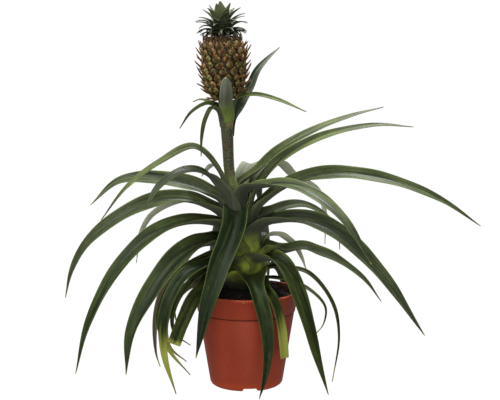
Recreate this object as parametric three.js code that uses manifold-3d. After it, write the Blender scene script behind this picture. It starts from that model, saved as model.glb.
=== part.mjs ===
// Potted pineapple plant: a terracotta-coloured nursery pot filled with soil, an arching
// rosette of channelled leaves, and a leaning stalk with a small fruit and its crown.
// Millimetres, +Z up. The origin is the middle of the pot's underside, on the ground.
// Azimuths are in degrees about +Z from +X; the plant is seen from -Y.
import * as THREE from 'three';
import Module from 'manifold-3d';
import { mergeVertices } from 'three/addons/utils/BufferGeometryUtils.js';

const wasm = await Module();
wasm.setup();

// Driving sizes of the pot
const potHeight = 107;
const rimRadius = 60;
const lipHeight = 3.6;
const lipOverhang = 2;
const collarHeight = 23;
const collarProud = 0.9;
const wallThickness = 1.6;
const wallFootRadius = 40.2;
const wallSlope = 0.161;
const footCornerRadius = 5.5;
const footRingWidth = 3;
const floorUnderside = 3;
const floorThickness = 2;
const restPadRadius = 9;
const potSegments = 36;
const footNotch = { bottomWidth: 19, topWidth: 13.5, height: 4, centre: 4, count: 4 };
const drainHole = { radius: 4, circle: 22, count: 6 };

// Driving sizes of the soil
const soilLevel = 100;
const soilRise = 1.2;
const soilHeap = 12;
const heapInside = 24.5;
const stemPocketDepth = 8;
const gap = 0.3;

// Driving sizes of the stem: [height, sideways lean] and [height, radius]
const stemLean = [
  [92, 0], [140, -1.5], [170, -4.5], [200, -10.5], [225, -16.8], [246, -19.4], [285, -21.2], [319, -22.5],
];
const stemGirth = [
  [92, 15], [100, 16], [118, 18], [140, 18], [165, 16.5], [190, 14], [208, 10.5],
  [222, 7.6], [236, 6], [256, 6], [273, 6.4], [290, 7.1], [306, 7.5], [319, 8.6],
];
const stemSegments = 20;
const sheathRelief = 0.35;
const sheathCount = 5;
const stalkTop = 319;

// Driving sizes of the fruit and its crown
const fruitHeight = 69;
const fruitProfile = [
  [0, 10.5], [0.06, 15], [0.15, 18.8], [0.28, 21.4], [0.42, 22.8],
  [0.6, 23.2], [0.8, 22.9], [0.92, 21.6], [1, 17],
];
const eyeRows = 10;
const eyesPerRow = 13;
const eyeRise = 2;
const bractReach = 5.6;
const bractLift = 6.2;
const crownHeight = 38;
const crownCore = [[0, 0], [9.5, 0], [10.5, 4], [8.6, 12], [5, 20], [0, 25]];
const crownLeaves = 36;
const topTilt = -3;

// The crown's leaves, from the outermost to the innermost
const crownLeafLean = [60, 4];
const crownLeafLength = [24, 30];
const crownLeafWidth = [7.5, 12];
const crownLeafBase = [1.5, crownHeight - 30];
const crownLeafReach = [8, 1];
const crownLeafCurl = [72, 8];
const goldenTurn = 137.5;

// Driving sizes of the leaf blades
const edgeThickness = 0.7;
const midThickness = 1.6;
const tipWidth = 1.1;
const wideBlade = 15.5;
const channelFold = 0.42;
const channelByStem = 0.8;
const channelFlatFrom = 0.5;
const channelCentre = 0.7;
const leafSeat = 0.4;
const claspWrap = 2;
const claspLength = 16;
const baseSpread = 1.4;
const openingLength = 24;
const leafStations = 11;
const baseStations = [0, 7, 15];

const materials = {
  pot: new THREE.MeshStandardMaterial({ color: '#86301f', roughness: 0.5, metalness: 0 }),
  soil: new THREE.MeshStandardMaterial({ color: '#2a1c15', roughness: 1, metalness: 0 }),
  stem: new THREE.MeshStandardMaterial({ color: '#66703a', roughness: 0.7, metalness: 0 }),
  fruit: new THREE.MeshStandardMaterial({ color: '#7d5a2a', roughness: 0.7, metalness: 0 }),
  crown: new THREE.MeshStandardMaterial({ color: '#3f5238', roughness: 0.6, metalness: 0 }),
  greenLeaf: new THREE.MeshStandardMaterial({ color: '#33462a', roughness: 0.45, metalness: 0 }),
  paleLeaf: new THREE.MeshStandardMaterial({ color: '#7c8a6d', roughness: 0.6, metalness: 0 }),
  oldLeaf: new THREE.MeshStandardMaterial({ color: '#6f6a33', roughness: 0.7, metalness: 0 }),
};

// Each leaf: where it leaves the stem, the widest width, how much of the stem its base wraps,
// its roll about the midrib in degrees, whether the tip is cut off, its tone if it isn't green,
// and its midrib as [reach from the stem's axis, height, sideways shift if any].
const rosette = [
  // Left side, top to bottom
  { name: 'leaf_left_1', azimuth: 190, root: 219, width: 13, wrap: 1.3, roll: -32,
    path: [[15, 244], [42, 269], [80, 253], [118, 225], [146, 189]] },
  { name: 'leaf_left_2', azimuth: 165, root: 194, width: 22, roll: -50,
    path: [[20, 208], [42, 221], [88, 230], [140, 226], [176, 196]] },
  { name: 'leaf_left_3', azimuth: 214, root: 204, width: 22, roll: -14,
    path: [[17, 218], [34, 240], [66, 246], [98, 231], [118, 205]] },
  { name: 'leaf_left_4', azimuth: 184, root: 181, width: 24, roll: -44,
    path: [[25, 197], [45, 209], [80, 212], [122, 199], [168, 165], [187, 133], [195, 100]] },
  { name: 'leaf_left_5', azimuth: 198, root: 168, width: 24, roll: -30,
    path: [[30, 185], [60, 190], [100, 178], [144, 138], [176, 80], [190, 26]] },
  { name: 'leaf_left_6', azimuth: 214, root: 152, width: 30, roll: -26,
    path: [[28, 165], [56, 168], [88, 152], [122, 117], [145, 78], [151, 32]] },
  { name: 'leaf_left_7', azimuth: 227, root: 133, width: 18, roll: -16,
    path: [[28, 144], [62, 146], [101, 134], [124, 100], [125, 58], [108, 9]] },
  { name: 'leaf_left_8', azimuth: 206, root: 125, width: 11, wrap: 0.9, roll: -20,
    path: [[30, 135], [56, 130], [80, 107], [89, 82], [86, 66], [67, 50]] },
  { name: 'leaf_left_9', azimuth: 218, root: 116, width: 19, wrap: 0.6, roll: -34, cut: true, tone: 'old',
    path: [[30, 122], [54, 117], [71, 106], [87, 81], [98, 59]] },
  { name: 'leaf_left_10', azimuth: 170, root: 128, width: 13, wrap: 0.7, roll: -72, tone: 'old',
    path: [[30, 138], [60, 134], [88, 112], [103, 75], [104, 30], [99, 13]] },
  { name: 'leaf_left_11', azimuth: 190, root: 118, width: 11, wrap: 0.4, roll: -62, tone: 'old',
    path: [[35, 122], [70, 110], [90, 75], [86, 45], [67, 27]] },
  { name: 'leaf_left_12', azimuth: 199, root: 144, width: 11, roll: -60,
    path: [[40, 149], [76, 128], [99, 84], [90, 48], [64, 14]] },
  // Front, over the pot
  { name: 'leaf_front_1', azimuth: 262, root: 186, width: 28,
    path: [[17, 201], [27, 199], [36, 187], [47, 168, -5], [59, 148, -12],
      [70, 128, -17], [79, 106, -23], [93, 51, -33]] },
  { name: 'leaf_front_2', azimuth: -82, root: 119, width: 18,
    path: [[26, 129, 1], [46, 125, 3], [62, 113, 6], [71, 86, 12], [75, 60, 14],
      [77, 30, 11], [78, 3, 4]] },
  { name: 'leaf_front_3', azimuth: -55, root: 115, width: 14, wrap: 0.7, cut: true, tone: 'old',
    path: [[27, 120, -3], [45, 117, -6], [61, 111, -8], [69, 97, -6], [73, 80, -4], [75, 44, -1]] },
  // Right side, top to bottom
  { name: 'leaf_right_1', azimuth: 27, root: 222, width: 14, roll: 28,
    path: [[15, 229], [33, 243], [58, 262], [107, 284], [156, 298], [199, 306]] },
  { name: 'leaf_right_2', azimuth: 9, root: 195, width: 16, wrap: 1.0, roll: 34,
    path: [[16, 214], [25, 230], [47, 253], [91, 277], [154, 290], [201, 287]] },
  { name: 'leaf_right_3', azimuth: -36, root: 210, width: 23, roll: 18,
    path: [[20, 224], [56, 232], [98, 226], [142, 200], [177, 155]] },
  { name: 'leaf_right_4', azimuth: -15, root: 170, width: 28, wrap: 1.7, roll: 36,
    path: [[32, 188], [65, 192], [106, 178], [155, 135], [205, 67]] },
  { name: 'leaf_right_5', azimuth: -3, root: 184, width: 22, wrap: 1.3, roll: 42,
    path: [[22, 205], [56, 230], [107, 240], [167, 232], [223, 210], [266, 181]] },
  { name: 'leaf_right_6', azimuth: 23, root: 179, width: 17, wrap: 1.2, roll: 30,
    path: [[35, 193], [75, 200], [104, 186], [121, 167], [124, 143]] },
  { name: 'leaf_right_7', azimuth: 10, root: 147, width: 19, wrap: 1.2, roll: 34,
    path: [[26, 149], [41, 151], [68, 155], [84, 149], [103, 141], [138, 115], [159, 87]] },
  { name: 'leaf_right_8', azimuth: -42, root: 134, width: 25, wrap: 1.5, roll: 8,
    path: [[22, 142], [40, 151], [53, 146], [65, 134], [77, 115], [93, 78], [103, 50], [120, 9]] },
  { name: 'leaf_right_9', azimuth: -12, root: 127, width: 8, roll: 24,
    path: [[33, 134], [70, 130], [98, 98], [106, 60], [99, 6]] },
  { name: 'leaf_right_10', azimuth: -28, root: 119, width: 6, roll: 20,
    path: [[40, 124], [75, 117], [98, 98], [96, 78], [85, 64]] },
  { name: 'leaf_right_11', azimuth: 37, root: 153, width: 13, roll: -24,
    path: [[32, 166], [51, 165], [63, 158], [72, 151], [82, 137], [91, 118]] },
  // Back, mostly hidden behind the rest
  { name: 'leaf_back_1', azimuth: 144, root: 173, width: 14, wrap: 1.1, roll: 26,
    path: [[30, 190], [66, 203], [104, 195], [130, 181], [142, 168], [150, 153], [156, 120]] },
  { name: 'leaf_back_2', azimuth: 126, root: 209, width: 15, wrap: 0.7, roll: 14,
    path: [[14, 230], [32, 243], [46, 243], [67, 228]] },
  { name: 'leaf_back_3', azimuth: 84, root: 206, width: 20, wrap: 0.5,
    path: [[14, 221, -2], [28, 239, -8], [46, 246, -12], [82, 220, -16], [106, 180, -18]] },
  { name: 'leaf_back_4', azimuth: 48, root: 205, width: 15, wrap: 0.6, roll: -20,
    path: [[20, 217], [35, 232], [56, 242], [77, 243], [98, 228], [145, 204], [159, 174], [159, 138]] },
  { name: 'leaf_back_5', azimuth: 97, root: 199, width: 16, wrap: 0.9,
    path: [[20, 220], [56, 232], [105, 220], [150, 178], [170, 130]] },
  { name: 'leaf_back_6', azimuth: 76, root: 172, width: 17, wrap: 1.3,
    path: [[28, 187], [65, 190], [100, 165], [124, 120], [130, 85]] },
  { name: 'leaf_back_7', azimuth: 108, root: 159, width: 17,
    path: [[28, 178], [62, 186], [98, 162], [122, 120], [130, 75]] },
  { name: 'leaf_back_8', azimuth: 86, root: 144, width: 17, wrap: 1.2,
    path: [[28, 158], [56, 158], [86, 128], [104, 75], [106, 20]] },
  { name: 'leaf_back_9', azimuth: 143, root: 143, width: 14, wrap: 0.9,
    path: [[30, 156], [60, 153], [90, 125], [105, 85], [100, 50]] },
  { name: 'leaf_back_10', azimuth: 55, root: 120, width: 17,
    path: [[28, 128], [48, 130], [70, 117], [86, 84], [92, 40]] },
];

// Leaves of the fruit stalk, just below the fruit
const stalkLeaves = [
  { name: 'stalk_leaf_1', azimuth: -90, root: 300, width: 14.5, wrap: 0.9, stout: true, tone: 'pale',
    path: [[10.5, 306], [15, 314], [23, 322], [30, 333], [34, 345]] },
  { name: 'stalk_leaf_2', azimuth: 40, root: 286, width: 12, wrap: 1.5, roll: 40,
    path: [[10, 298], [17, 309], [23, 319], [33, 333], [43, 350], [55, 361], [77, 376]] },
  { name: 'stalk_leaf_3', azimuth: -28, root: 306, width: 8, roll: 34,
    path: [[12, 319], [20, 324], [37, 326.5], [63, 321.5], [98, 309]] },
  { name: 'stalk_leaf_4', azimuth: 154, root: 308, width: 5, roll: -30,
    path: [[13, 314], [24, 318], [33, 319], [42, 316]] },
  { name: 'stalk_leaf_5', azimuth: 186, root: 300, width: 8, wrap: 0.6, roll: -30,
    path: [[12, 311], [20, 316], [38, 307], [52, 288]] },
  { name: 'stalk_leaf_6', azimuth: 222, root: 296, width: 9, wrap: 0.6,
    path: [[12, 307], [21, 312], [31, 299], [36, 280], [37, 259]] },
];

// A repeatable stream of numbers from 0 to 1
function seeded(seed) {
  let state = seed;
  return () => {
    state = (state * 1664525 + 1013904223) % 4294967296;
    return state / 4294967296;
  };
}

// Straight-line reading of a table of [height, value] pairs
function readTable(table, height) {
  const above = table.findIndex(([level]) => level >= height);
  if (above === 0) return table[0][1];
  if (above < 0) return table[table.length - 1][1];
  const [lowLevel, low] = table[above - 1];
  const [highLevel, high] = table[above];
  return low + ((high - low) * (height - lowLevel)) / (highLevel - lowLevel);
}

function toRadians(degrees) {
  return THREE.MathUtils.degToRad(degrees);
}

// The stem's axis leans toward -X as it rises
function stemAxis(height) {
  return new THREE.Vector3(readTable(stemLean, height), 0, height);
}

// The stem's surface: packed leaf bases below, fading into a plain round stalk
function stemRadius(height, angle) {
  const packed = 1 - THREE.MathUtils.smoothstep(height, 190, 240);
  const wave = Math.cos(sheathCount * angle + height * 0.09);
  return readTable(stemGirth, height) + sheathRelief * packed * wave;
}

function geometryFrom(points, triangles) {
  const geometry = new THREE.BufferGeometry();
  const flat = points.flatMap((point) => [point.x, point.y, point.z]);
  geometry.setAttribute('position', new THREE.Float32BufferAttribute(flat, 3));
  geometry.setIndex(triangles.flat());
  return geometry;
}

// Closed skin over equal rings of points, each ring counter-clockwise seen from the last one
function skinRings(rings) {
  const size = rings[0].length;
  const triangles = [];
  for (let row = 0; row < rings.length - 1; row += 1) {
    for (let side = 0; side < size; side += 1) {
      const a = row * size + side;
      const b = row * size + ((side + 1) % size);
      triangles.push([a, b, b + size], [a, b + size, a + size]);
    }
  }
  const points = rings.flat();
  const closeEnd = (row, outward) => {
    const centre = new THREE.Vector3();
    rings[row].forEach((point) => centre.addScaledVector(point, 1 / size));
    const middle = points.push(centre) - 1;
    for (let side = 0; side < size; side += 1) {
      const a = row * size + side;
      const b = row * size + ((side + 1) % size);
      triangles.push(outward ? [a, b, middle] : [b, a, middle]);
    }
  };
  closeEnd(0, false);
  closeEnd(rings.length - 1, true);
  return geometryFrom(points, triangles);
}

function solidFrom(geometry) {
  const bare = geometry.clone();
  bare.deleteAttribute('normal');
  bare.deleteAttribute('uv');
  const merged = mergeVertices(bare, 1e-4);
  return new wasm.Manifold(new wasm.Mesh({
    numProp: 3,
    vertProperties: new Float32Array(merged.attributes.position.array),
    triVerts: new Uint32Array(merged.index.array),
  }));
}

function geometryOf(solid) {
  const mesh = solid.getMesh();
  const geometry = new THREE.BufferGeometry();
  geometry.setAttribute('position', new THREE.BufferAttribute(mesh.vertProperties, 3));
  geometry.setIndex(new THREE.BufferAttribute(mesh.triVerts, 1));
  return geometry;
}

// Pot

function wallRadius(height) {
  return wallFootRadius + wallSlope * height;
}

function potProfile() {
  const collarBase = potHeight - collarHeight;
  const cornerCentre = wallRadius(footCornerRadius) - footCornerRadius;
  const corner = [0, 45, 90].map((turn) => [
    cornerCentre + footCornerRadius * Math.sin(toRadians(turn)),
    footCornerRadius - footCornerRadius * Math.cos(toRadians(turn)),
  ]);
  const innerFloor = floorUnderside + floorThickness;
  const points = [
    [0, 0],
    [restPadRadius, 0],
    [restPadRadius, floorUnderside],
    [cornerCentre - footRingWidth, floorUnderside],
    [cornerCentre - footRingWidth, 0],
    ...corner,
    [wallRadius(collarBase), collarBase],
    [wallRadius(collarBase) + collarProud, collarBase + 0.8],
    [rimRadius - lipOverhang, potHeight - lipHeight],
    [rimRadius - 0.4, potHeight - lipHeight + 0.4],
    [rimRadius, potHeight - 1],
    [rimRadius - 1, potHeight],
    [rimRadius - lipOverhang - wallThickness, potHeight],
    [rimRadius - lipOverhang - 2 * wallThickness, potHeight - lipHeight],
    [wallRadius(innerFloor) - wallThickness, innerFloor],
    [0, innerFloor],
  ];
  return points.map(([radius, height]) => new THREE.Vector2(radius, height));
}

// A notch through the foot ring, narrower at its top, that lets water out
function footNotchSolid(turn) {
  const { bottomWidth, topWidth, height, centre } = footNotch;
  const outline = new THREE.Shape();
  outline.moveTo(centre - bottomWidth / 2, -1);
  outline.lineTo(centre + bottomWidth / 2, -1);
  outline.lineTo(centre + topWidth / 2, height);
  outline.lineTo(centre - topWidth / 2, height);
  outline.closePath();
  const reach = wallFootRadius + 5;
  const innerFace = wallFootRadius - footCornerRadius - footRingWidth - 2;
  const cutter = new THREE.ExtrudeGeometry(outline, { depth: reach - innerFace, bevelEnabled: false });
  cutter.rotateX(Math.PI / 2);
  cutter.translate(0, -innerFace, 0);
  cutter.rotateZ(turn);
  return solidFrom(cutter);
}

function makePot() {
  const lathe = new THREE.LatheGeometry(potProfile(), potSegments);
  lathe.rotateX(Math.PI / 2);
  let solid = solidFrom(lathe);
  for (let index = 0; index < footNotch.count; index += 1) {
    solid = solid.subtract(footNotchSolid((index / footNotch.count) * 2 * Math.PI));
  }
  for (let index = 0; index < drainHole.count; index += 1) {
    const turn = ((index + 0.5) / drainHole.count) * 2 * Math.PI;
    const drill = new THREE.CylinderGeometry(drainHole.radius, drainHole.radius, 12, 12);
    drill.rotateX(Math.PI / 2);
    drill.translate(drainHole.circle * Math.cos(turn), drainHole.circle * Math.sin(turn), floorUnderside);
    solid = solid.subtract(solidFrom(drill));
  }
  return geometryOf(solid);
}

// Soil, with a pocket that the foot of the stem stands in

function makeSoil() {
  const random = seeded(7);
  const pocketFloor = soilLevel - stemPocketDepth - gap;
  const bottom = floorUnderside + floorThickness + gap;
  const inside = (height) => wallRadius(height) - wallThickness - gap;
  const segments = 32;
  const shelf = [
    [inside(bottom) - 0.4, bottom, 0],
    [inside(soilLevel - 4) - 0.8, soilLevel - 4, 0],
    [inside(soilLevel - 4) - 1.2, soilLevel - 1.5, soilRise],
    [43, soilLevel + 2, soilRise],
    [33, soilLevel + soilHeap - 3, soilRise],
    [heapInside + 2, soilLevel + soilHeap - 1.5, soilRise * 0.6],
    [heapInside - 1, soilLevel + soilHeap - 3, soilRise * 0.4],
    [heapInside - 4, soilLevel + 1, 0],
    [18.2, soilLevel + 0.5, 0],
    [16.6, pocketFloor, 0],
  ];
  const rings = shelf.map(([radius, height, rise]) => {
    const ring = [];
    for (let side = 0; side < segments; side += 1) {
      const turn = (side / segments) * 2 * Math.PI;
      const level = height + rise * (random() - 0.5) * 2;
      ring.push(new THREE.Vector3(radius * Math.cos(turn), radius * Math.sin(turn), level));
    }
    return ring;
  });
  return skinRings(rings);
}

// Stem: the packed leaf bases and the stalk that carries the fruit

function makeStem() {
  const levels = [92, 100, 109, 118, 129, 140, 152, 165, 178, 190, 199, 208, 215, 222,
    229, 236, 246, 256, 273, 290, 306, stalkTop];
  const rings = levels.map((height) => {
    const ring = [];
    const axis = stemAxis(height);
    for (let side = 0; side < stemSegments; side += 1) {
      const turn = (side / stemSegments) * 2 * Math.PI;
      const radius = stemRadius(height, turn);
      ring.push(new THREE.Vector3(axis.x + radius * Math.cos(turn), radius * Math.sin(turn), height));
    }
    return ring;
  });
  return skinRings(rings);
}

// Leaves

// The blade's width: a narrow clasping base, the widest part, then a long taper to the tip
function bladeWidth(leaf, place, length) {
  const { root, width, wrap = claspWrap, cut = false, stout = false } = leaf;
  const base = Math.min(width * baseSpread, wrap * stemRadius(root, toRadians(leaf.azimuth)));
  const opening = Math.min(openingLength, length * 0.35);
  const opened = THREE.MathUtils.smoothstep(place * length, claspLength / 4, opening);
  const full = THREE.MathUtils.lerp(base, width, opened);
  if (cut) return full * (1 - 0.2 * place);
  if (stout) return Math.max(full * Math.sqrt(1 - place ** 4), tipWidth);
  return Math.max(full * (1 - place ** 2.5), tipWidth);
}

function leafMidrib({ azimuth, root, path }) {
  const turn = toRadians(azimuth);
  const axis = stemAxis(root);
  const outward = new THREE.Vector3(Math.cos(turn), Math.sin(turn), 0);
  const sideways = new THREE.Vector3(-Math.sin(turn), Math.cos(turn), 0);
  const start = stemRadius(root, turn) + gap + midThickness / 2;
  const points = [[start, root], ...path].map(([reach, height, shift = 0]) => {
    const point = new THREE.Vector3(axis.x, 0, height).addScaledVector(outward, reach);
    return point.addScaledVector(sideways, shift);
  });
  return new THREE.CatmullRomCurve3(points, false, 'centripetal');
}

// A point of the blade laid round the stem, as the clasping base is
function claspPoint(turn, height, across, clearance) {
  const axis = stemAxis(height);
  const there = turn + across / (stemRadius(height, turn) + clearance);
  const reach = stemRadius(height, there) + clearance;
  return new THREE.Vector3(axis.x + reach * Math.cos(there), reach * Math.sin(there), height);
}

// Pushes a point of the blade out where it would enter the stem
function keepOutside(point, clearance) {
  if (point.z > stalkTop) return point;
  const axis = stemAxis(point.z);
  const turn = Math.atan2(point.y, point.x - axis.x);
  const reach = Math.hypot(point.y, point.x - axis.x);
  const push = stemRadius(point.z, turn) + clearance - reach;
  if (push > 0) point.add(new THREE.Vector3(push * Math.cos(turn), push * Math.sin(turn), 0));
  return point;
}

// Stations lie close together along the clasping base and evenly from there to the tip
function stationPlace(station, length) {
  const near = baseStations.length;
  if (station < near) return baseStations[station] / length;
  const start = baseStations[near - 1] / length;
  return Math.min(1, start + ((1 - start) * (station - near + 1)) / (leafStations - near + 1));
}

function makeLeaf(leaf) {
  const { azimuth, width, roll = 0 } = leaf;
  const curve = leafMidrib(leaf);
  const length = curve.getLength();
  const turn = toRadians(azimuth);
  const sideways = new THREE.Vector3(-Math.sin(turn), Math.cos(turn), 0);
  const columns = width > wideBlade ? [-1, -0.5, 0, 0.5, 1] : [-1, 0, 1];
  const rings = [];
  for (let station = 0; station <= leafStations; station += 1) {
    const place = stationPlace(station, length);
    const centre = curve.getPointAt(place);
    const along = curve.getTangentAt(place);
    const upper = new THREE.Vector3().crossVectors(along, sideways).normalize();
    upper.applyAxisAngle(along, toRadians(roll) * THREE.MathUtils.smoothstep(place, 0.02, 0.4));
    const side = new THREE.Vector3().crossVectors(upper, along).normalize();
    const half = bladeWidth(leaf, place, length) / 2;
    const clasp = 1 - THREE.MathUtils.smoothstep(place * length, 0, claspLength);
    const flattened = THREE.MathUtils.smoothstep(place, 0.05, channelFlatFrom);
    const fold = THREE.MathUtils.lerp(channelByStem, channelFold * (1 - 0.4 * place), flattened);
    const chord = (2 * half) / (columns.length - 1);
    const seat = leafSeat + chord ** 2 / (8 * stemRadius(centre.z, turn));
    const bladePoint = (column, face) => {
      const across = column * half;
      const lift = fold * half * (Math.abs(column) ** 1.6 - channelCentre);
      const fullness = (1 - column ** 2) * (1 - 0.6 * place);
      const thickness = edgeThickness + (midThickness - edgeThickness) * fullness;
      const clearance = face > 0 ? seat : seat + thickness;
      const free = centre.clone().addScaledVector(side, across);
      free.addScaledVector(upper, lift + (face * thickness) / 2);
      free.lerp(claspPoint(turn, centre.z, across, clearance), clasp);
      return keepOutside(free, clearance);
    };
    const under = columns.map((column) => bladePoint(column, -1));
    const over = [...columns].reverse().map((column) => bladePoint(column, 1));
    rings.push([...under, ...over]);
  }
  return skinBlade(rings, columns.length);
}

// Closed skin over blade rings, each the lower face and then the upper face on its way back
function skinBlade(rings, count) {
  const size = rings[0].length;
  const triangles = [];
  for (let row = 0; row < rings.length - 1; row += 1) {
    for (let side = 0; side < size; side += 1) {
      const next = (side + 1) % size;
      const a = row * size + side;
      const b = row * size + next;
      const onUpper = side >= count && side < size - 1;
      if (onUpper) triangles.push([a, b, a + size], [b, b + size, a + size]);
      else triangles.push([a, b, b + size], [a, b + size, a + size]);
    }
  }
  const closeEnd = (base, forward) => {
    for (let column = 0; column < count - 1; column += 1) {
      const low = base + column;
      const high = base + size - 1 - column;
      const quad = [[low, high, low + 1], [low + 1, high, high - 1]];
      quad.forEach((triangle) => triangles.push(forward ? [...triangle].reverse() : triangle));
    }
  };
  closeEnd(0, false);
  closeEnd((rings.length - 1) * size, true);
  return geometryFrom(rings.flat(), triangles);
}

// Fruit: a barrel of eyes in staggered rows, each with a pointed bract that turns upward

function fruitGirth(share) {
  return readTable(fruitProfile, share);
}

function makeFruit() {
  const columns = eyesPerRow * 2;
  const twist = 0.35;
  const points = [];
  const onFruit = (column, row, rise, lift = 0) => {
    const share = (row + 0.5) / eyeRows;
    const turn = ((column + twist * row) / columns) * 2 * Math.PI;
    const radius = fruitGirth(share) + rise;
    const height = share * fruitHeight + lift;
    return points.push(new THREE.Vector3(radius * Math.cos(turn), radius * Math.sin(turn), height)) - 1;
  };
  const corner = [];
  for (let row = 0; row < eyeRows; row += 1) {
    corner.push([]);
    for (let column = 0; column < columns; column += 1) {
      corner[row].push((column + row) % 2 === 1 ? onFruit(column, row, -1.6) : -1);
    }
  }
  const ringFloor = [];
  const ringTop = [];
  for (let column = 0; column < columns; column += 1) {
    ringFloor.push(onFruit(column, -0.5, -fruitGirth(0) * 0.2 - 1));
    ringTop.push(onFruit(column, eyeRows - 0.5, -fruitGirth(1) * 0.1 - 1));
  }
  const triangles = [];
  for (let row = 0; row < eyeRows; row += 1) {
    for (let column = 0; column < columns; column += 1) {
      if ((column + row) % 2 === 1) continue;
      const left = corner[row][(column + columns - 1) % columns];
      const right = corner[row][(column + 1) % columns];
      const below = row > 0 ? corner[row - 1][column] : -1;
      const above = row < eyeRows - 1 ? corner[row + 1][column] : -1;
      const outer = [below, right, above, left];
      const inner = [
        onFruit(column, row - 0.42, eyeRise * 0.8),
        onFruit(column + 0.5, row, eyeRise),
        onFruit(column, row + 0.42, eyeRise * 0.8),
        onFruit(column - 0.5, row, eyeRise),
      ];
      const short = 1 - 0.35 * THREE.MathUtils.smoothstep(row, eyeRows - 3, eyeRows - 1);
      const point = onFruit(column, row, eyeRise + bractReach * short, bractLift * short);
      for (let side = 0; side < 4; side += 1) {
        const next = (side + 1) % 4;
        triangles.push([inner[side], inner[next], point]);
        if (outer[side] >= 0 && outer[next] >= 0) {
          triangles.push([outer[side], outer[next], inner[next]], [outer[side], inner[next], inner[side]]);
        }
      }
      const wrap = (index) => (index + columns) % columns;
      if (row === 0) {
        const low = [ringFloor[wrap(column - 1)], ringFloor[column], ringFloor[wrap(column + 1)]];
        triangles.push([low[0], low[1], inner[0]], [low[1], low[2], inner[0]]);
        triangles.push([low[0], inner[0], left], [left, inner[0], inner[3]]);
        triangles.push([low[2], right, inner[0]], [right, inner[1], inner[0]]);
      }
      if (row === eyeRows - 1) {
        const high = [ringTop[wrap(column - 1)], ringTop[column], ringTop[wrap(column + 1)]];
        triangles.push([high[1], high[0], inner[2]], [high[2], high[1], inner[2]]);
        triangles.push([high[0], left, inner[2]], [left, inner[3], inner[2]]);
        triangles.push([high[2], inner[2], right], [right, inner[2], inner[1]]);
      }
    }
  }
  const floorMiddle = points.push(new THREE.Vector3(0, 0, 0)) - 1;
  const topMiddle = points.push(new THREE.Vector3(0, 0, fruitHeight)) - 1;
  for (let column = 0; column < columns; column += 1) {
    const next = (column + 1) % columns;
    triangles.push([ringFloor[next], ringFloor[column], floorMiddle]);
    triangles.push([ringTop[column], ringTop[next], topMiddle]);
  }
  return geometryFrom(points, triangles);
}

// Crown: a short core with a spiral of pointed leaves, joined into one tuft

function crownLeaf(rank, total, random) {
  const inner = rank / (total - 1);
  const upright = THREE.MathUtils.smoothstep(inner, 0.45, 1);
  const turn = rank * toRadians(goldenTurn);
  const between = ([outermost, innermost], share) => THREE.MathUtils.lerp(outermost, innermost, share);
  const lean = between(crownLeafLean, inner ** 0.85) + (random() - 0.5) * 8;
  const length = between(crownLeafLength, inner) * (0.94 + 0.1 * random());
  const width = between(crownLeafWidth, inner);
  const curl = between(crownLeafCurl, upright);
  const spot = new THREE.Vector3(between(crownLeafReach, inner), 0, between(crownLeafBase, inner));
  const shares = [0.9, 1, between([0.4, 0.75], upright), 0.08];
  const rings = shares.map((share, index) => {
    const angle = toRadians(90 - lean - (curl * index) / 3);
    const along = new THREE.Vector3(Math.cos(angle), 0, Math.sin(angle));
    const upper = new THREE.Vector3(-Math.sin(angle), 0, Math.cos(angle));
    const half = Math.max(width * share, 0.8) / 2;
    const thick = index === 3 ? 0.4 : 0.6;
    const place = (across, lift) => spot.clone().addScaledVector(upper, lift)
      .add(new THREE.Vector3(0, across, 0));
    const ring = [place(-half, thick), place(0, -thick), place(half, thick)];
    spot.addScaledVector(along, length / 3);
    return ring;
  });
  const blade = skinRings(rings);
  blade.rotateZ(turn);
  return solidFrom(blade);
}

function makeCrown() {
  const random = seeded(23);
  const profile = crownCore.map(([radius, height]) => new THREE.Vector2(radius, height));
  const core = new THREE.LatheGeometry(profile, 14);
  core.rotateX(Math.PI / 2);
  let solid = solidFrom(core);
  for (let rank = 0; rank < crownLeaves; rank += 1) {
    solid = solid.add(crownLeaf(rank, crownLeaves, random));
  }
  return geometryOf(solid);
}

// Assembly

function named(name, geometry, material) {
  const mesh = new THREE.Mesh(geometry, material);
  mesh.name = name;
  return mesh;
}

const plant = new THREE.Group();
plant.add(named('pot', makePot(), materials.pot));
plant.add(named('soil', makeSoil(), materials.soil));
plant.add(named('stem', makeStem(), materials.stem));

[...rosette, ...stalkLeaves].forEach((leaf) => {
  plant.add(named(leaf.name, makeLeaf(leaf), materials[`${leaf.tone ?? 'green'}Leaf`]));
});

// The fruit and its crown follow the stalk's lean
const top = new THREE.Group();
const seatRise = gap + readTable(stemGirth, stalkTop) * Math.sin(toRadians(Math.abs(topTilt)));
top.position.copy(stemAxis(stalkTop)).add(new THREE.Vector3(0, 0, seatRise));
top.rotation.y = toRadians(topTilt);
top.add(named('fruit', makeFruit(), materials.fruit));
const crown = named('crown', makeCrown(), materials.crown);
crown.position.z = fruitHeight + gap;
top.add(crown);
plant.add(top);

export default plant;
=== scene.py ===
# Potted pineapple plant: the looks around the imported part.
# Lengths are millimetres until a point is handed to Blender, which takes metres. +Z is up, the
# plant is seen from -Y, and azimuths are degrees about +Z from +X.
import math
import random

import bpy
from mathutils import Matrix, Vector, noise


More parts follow.
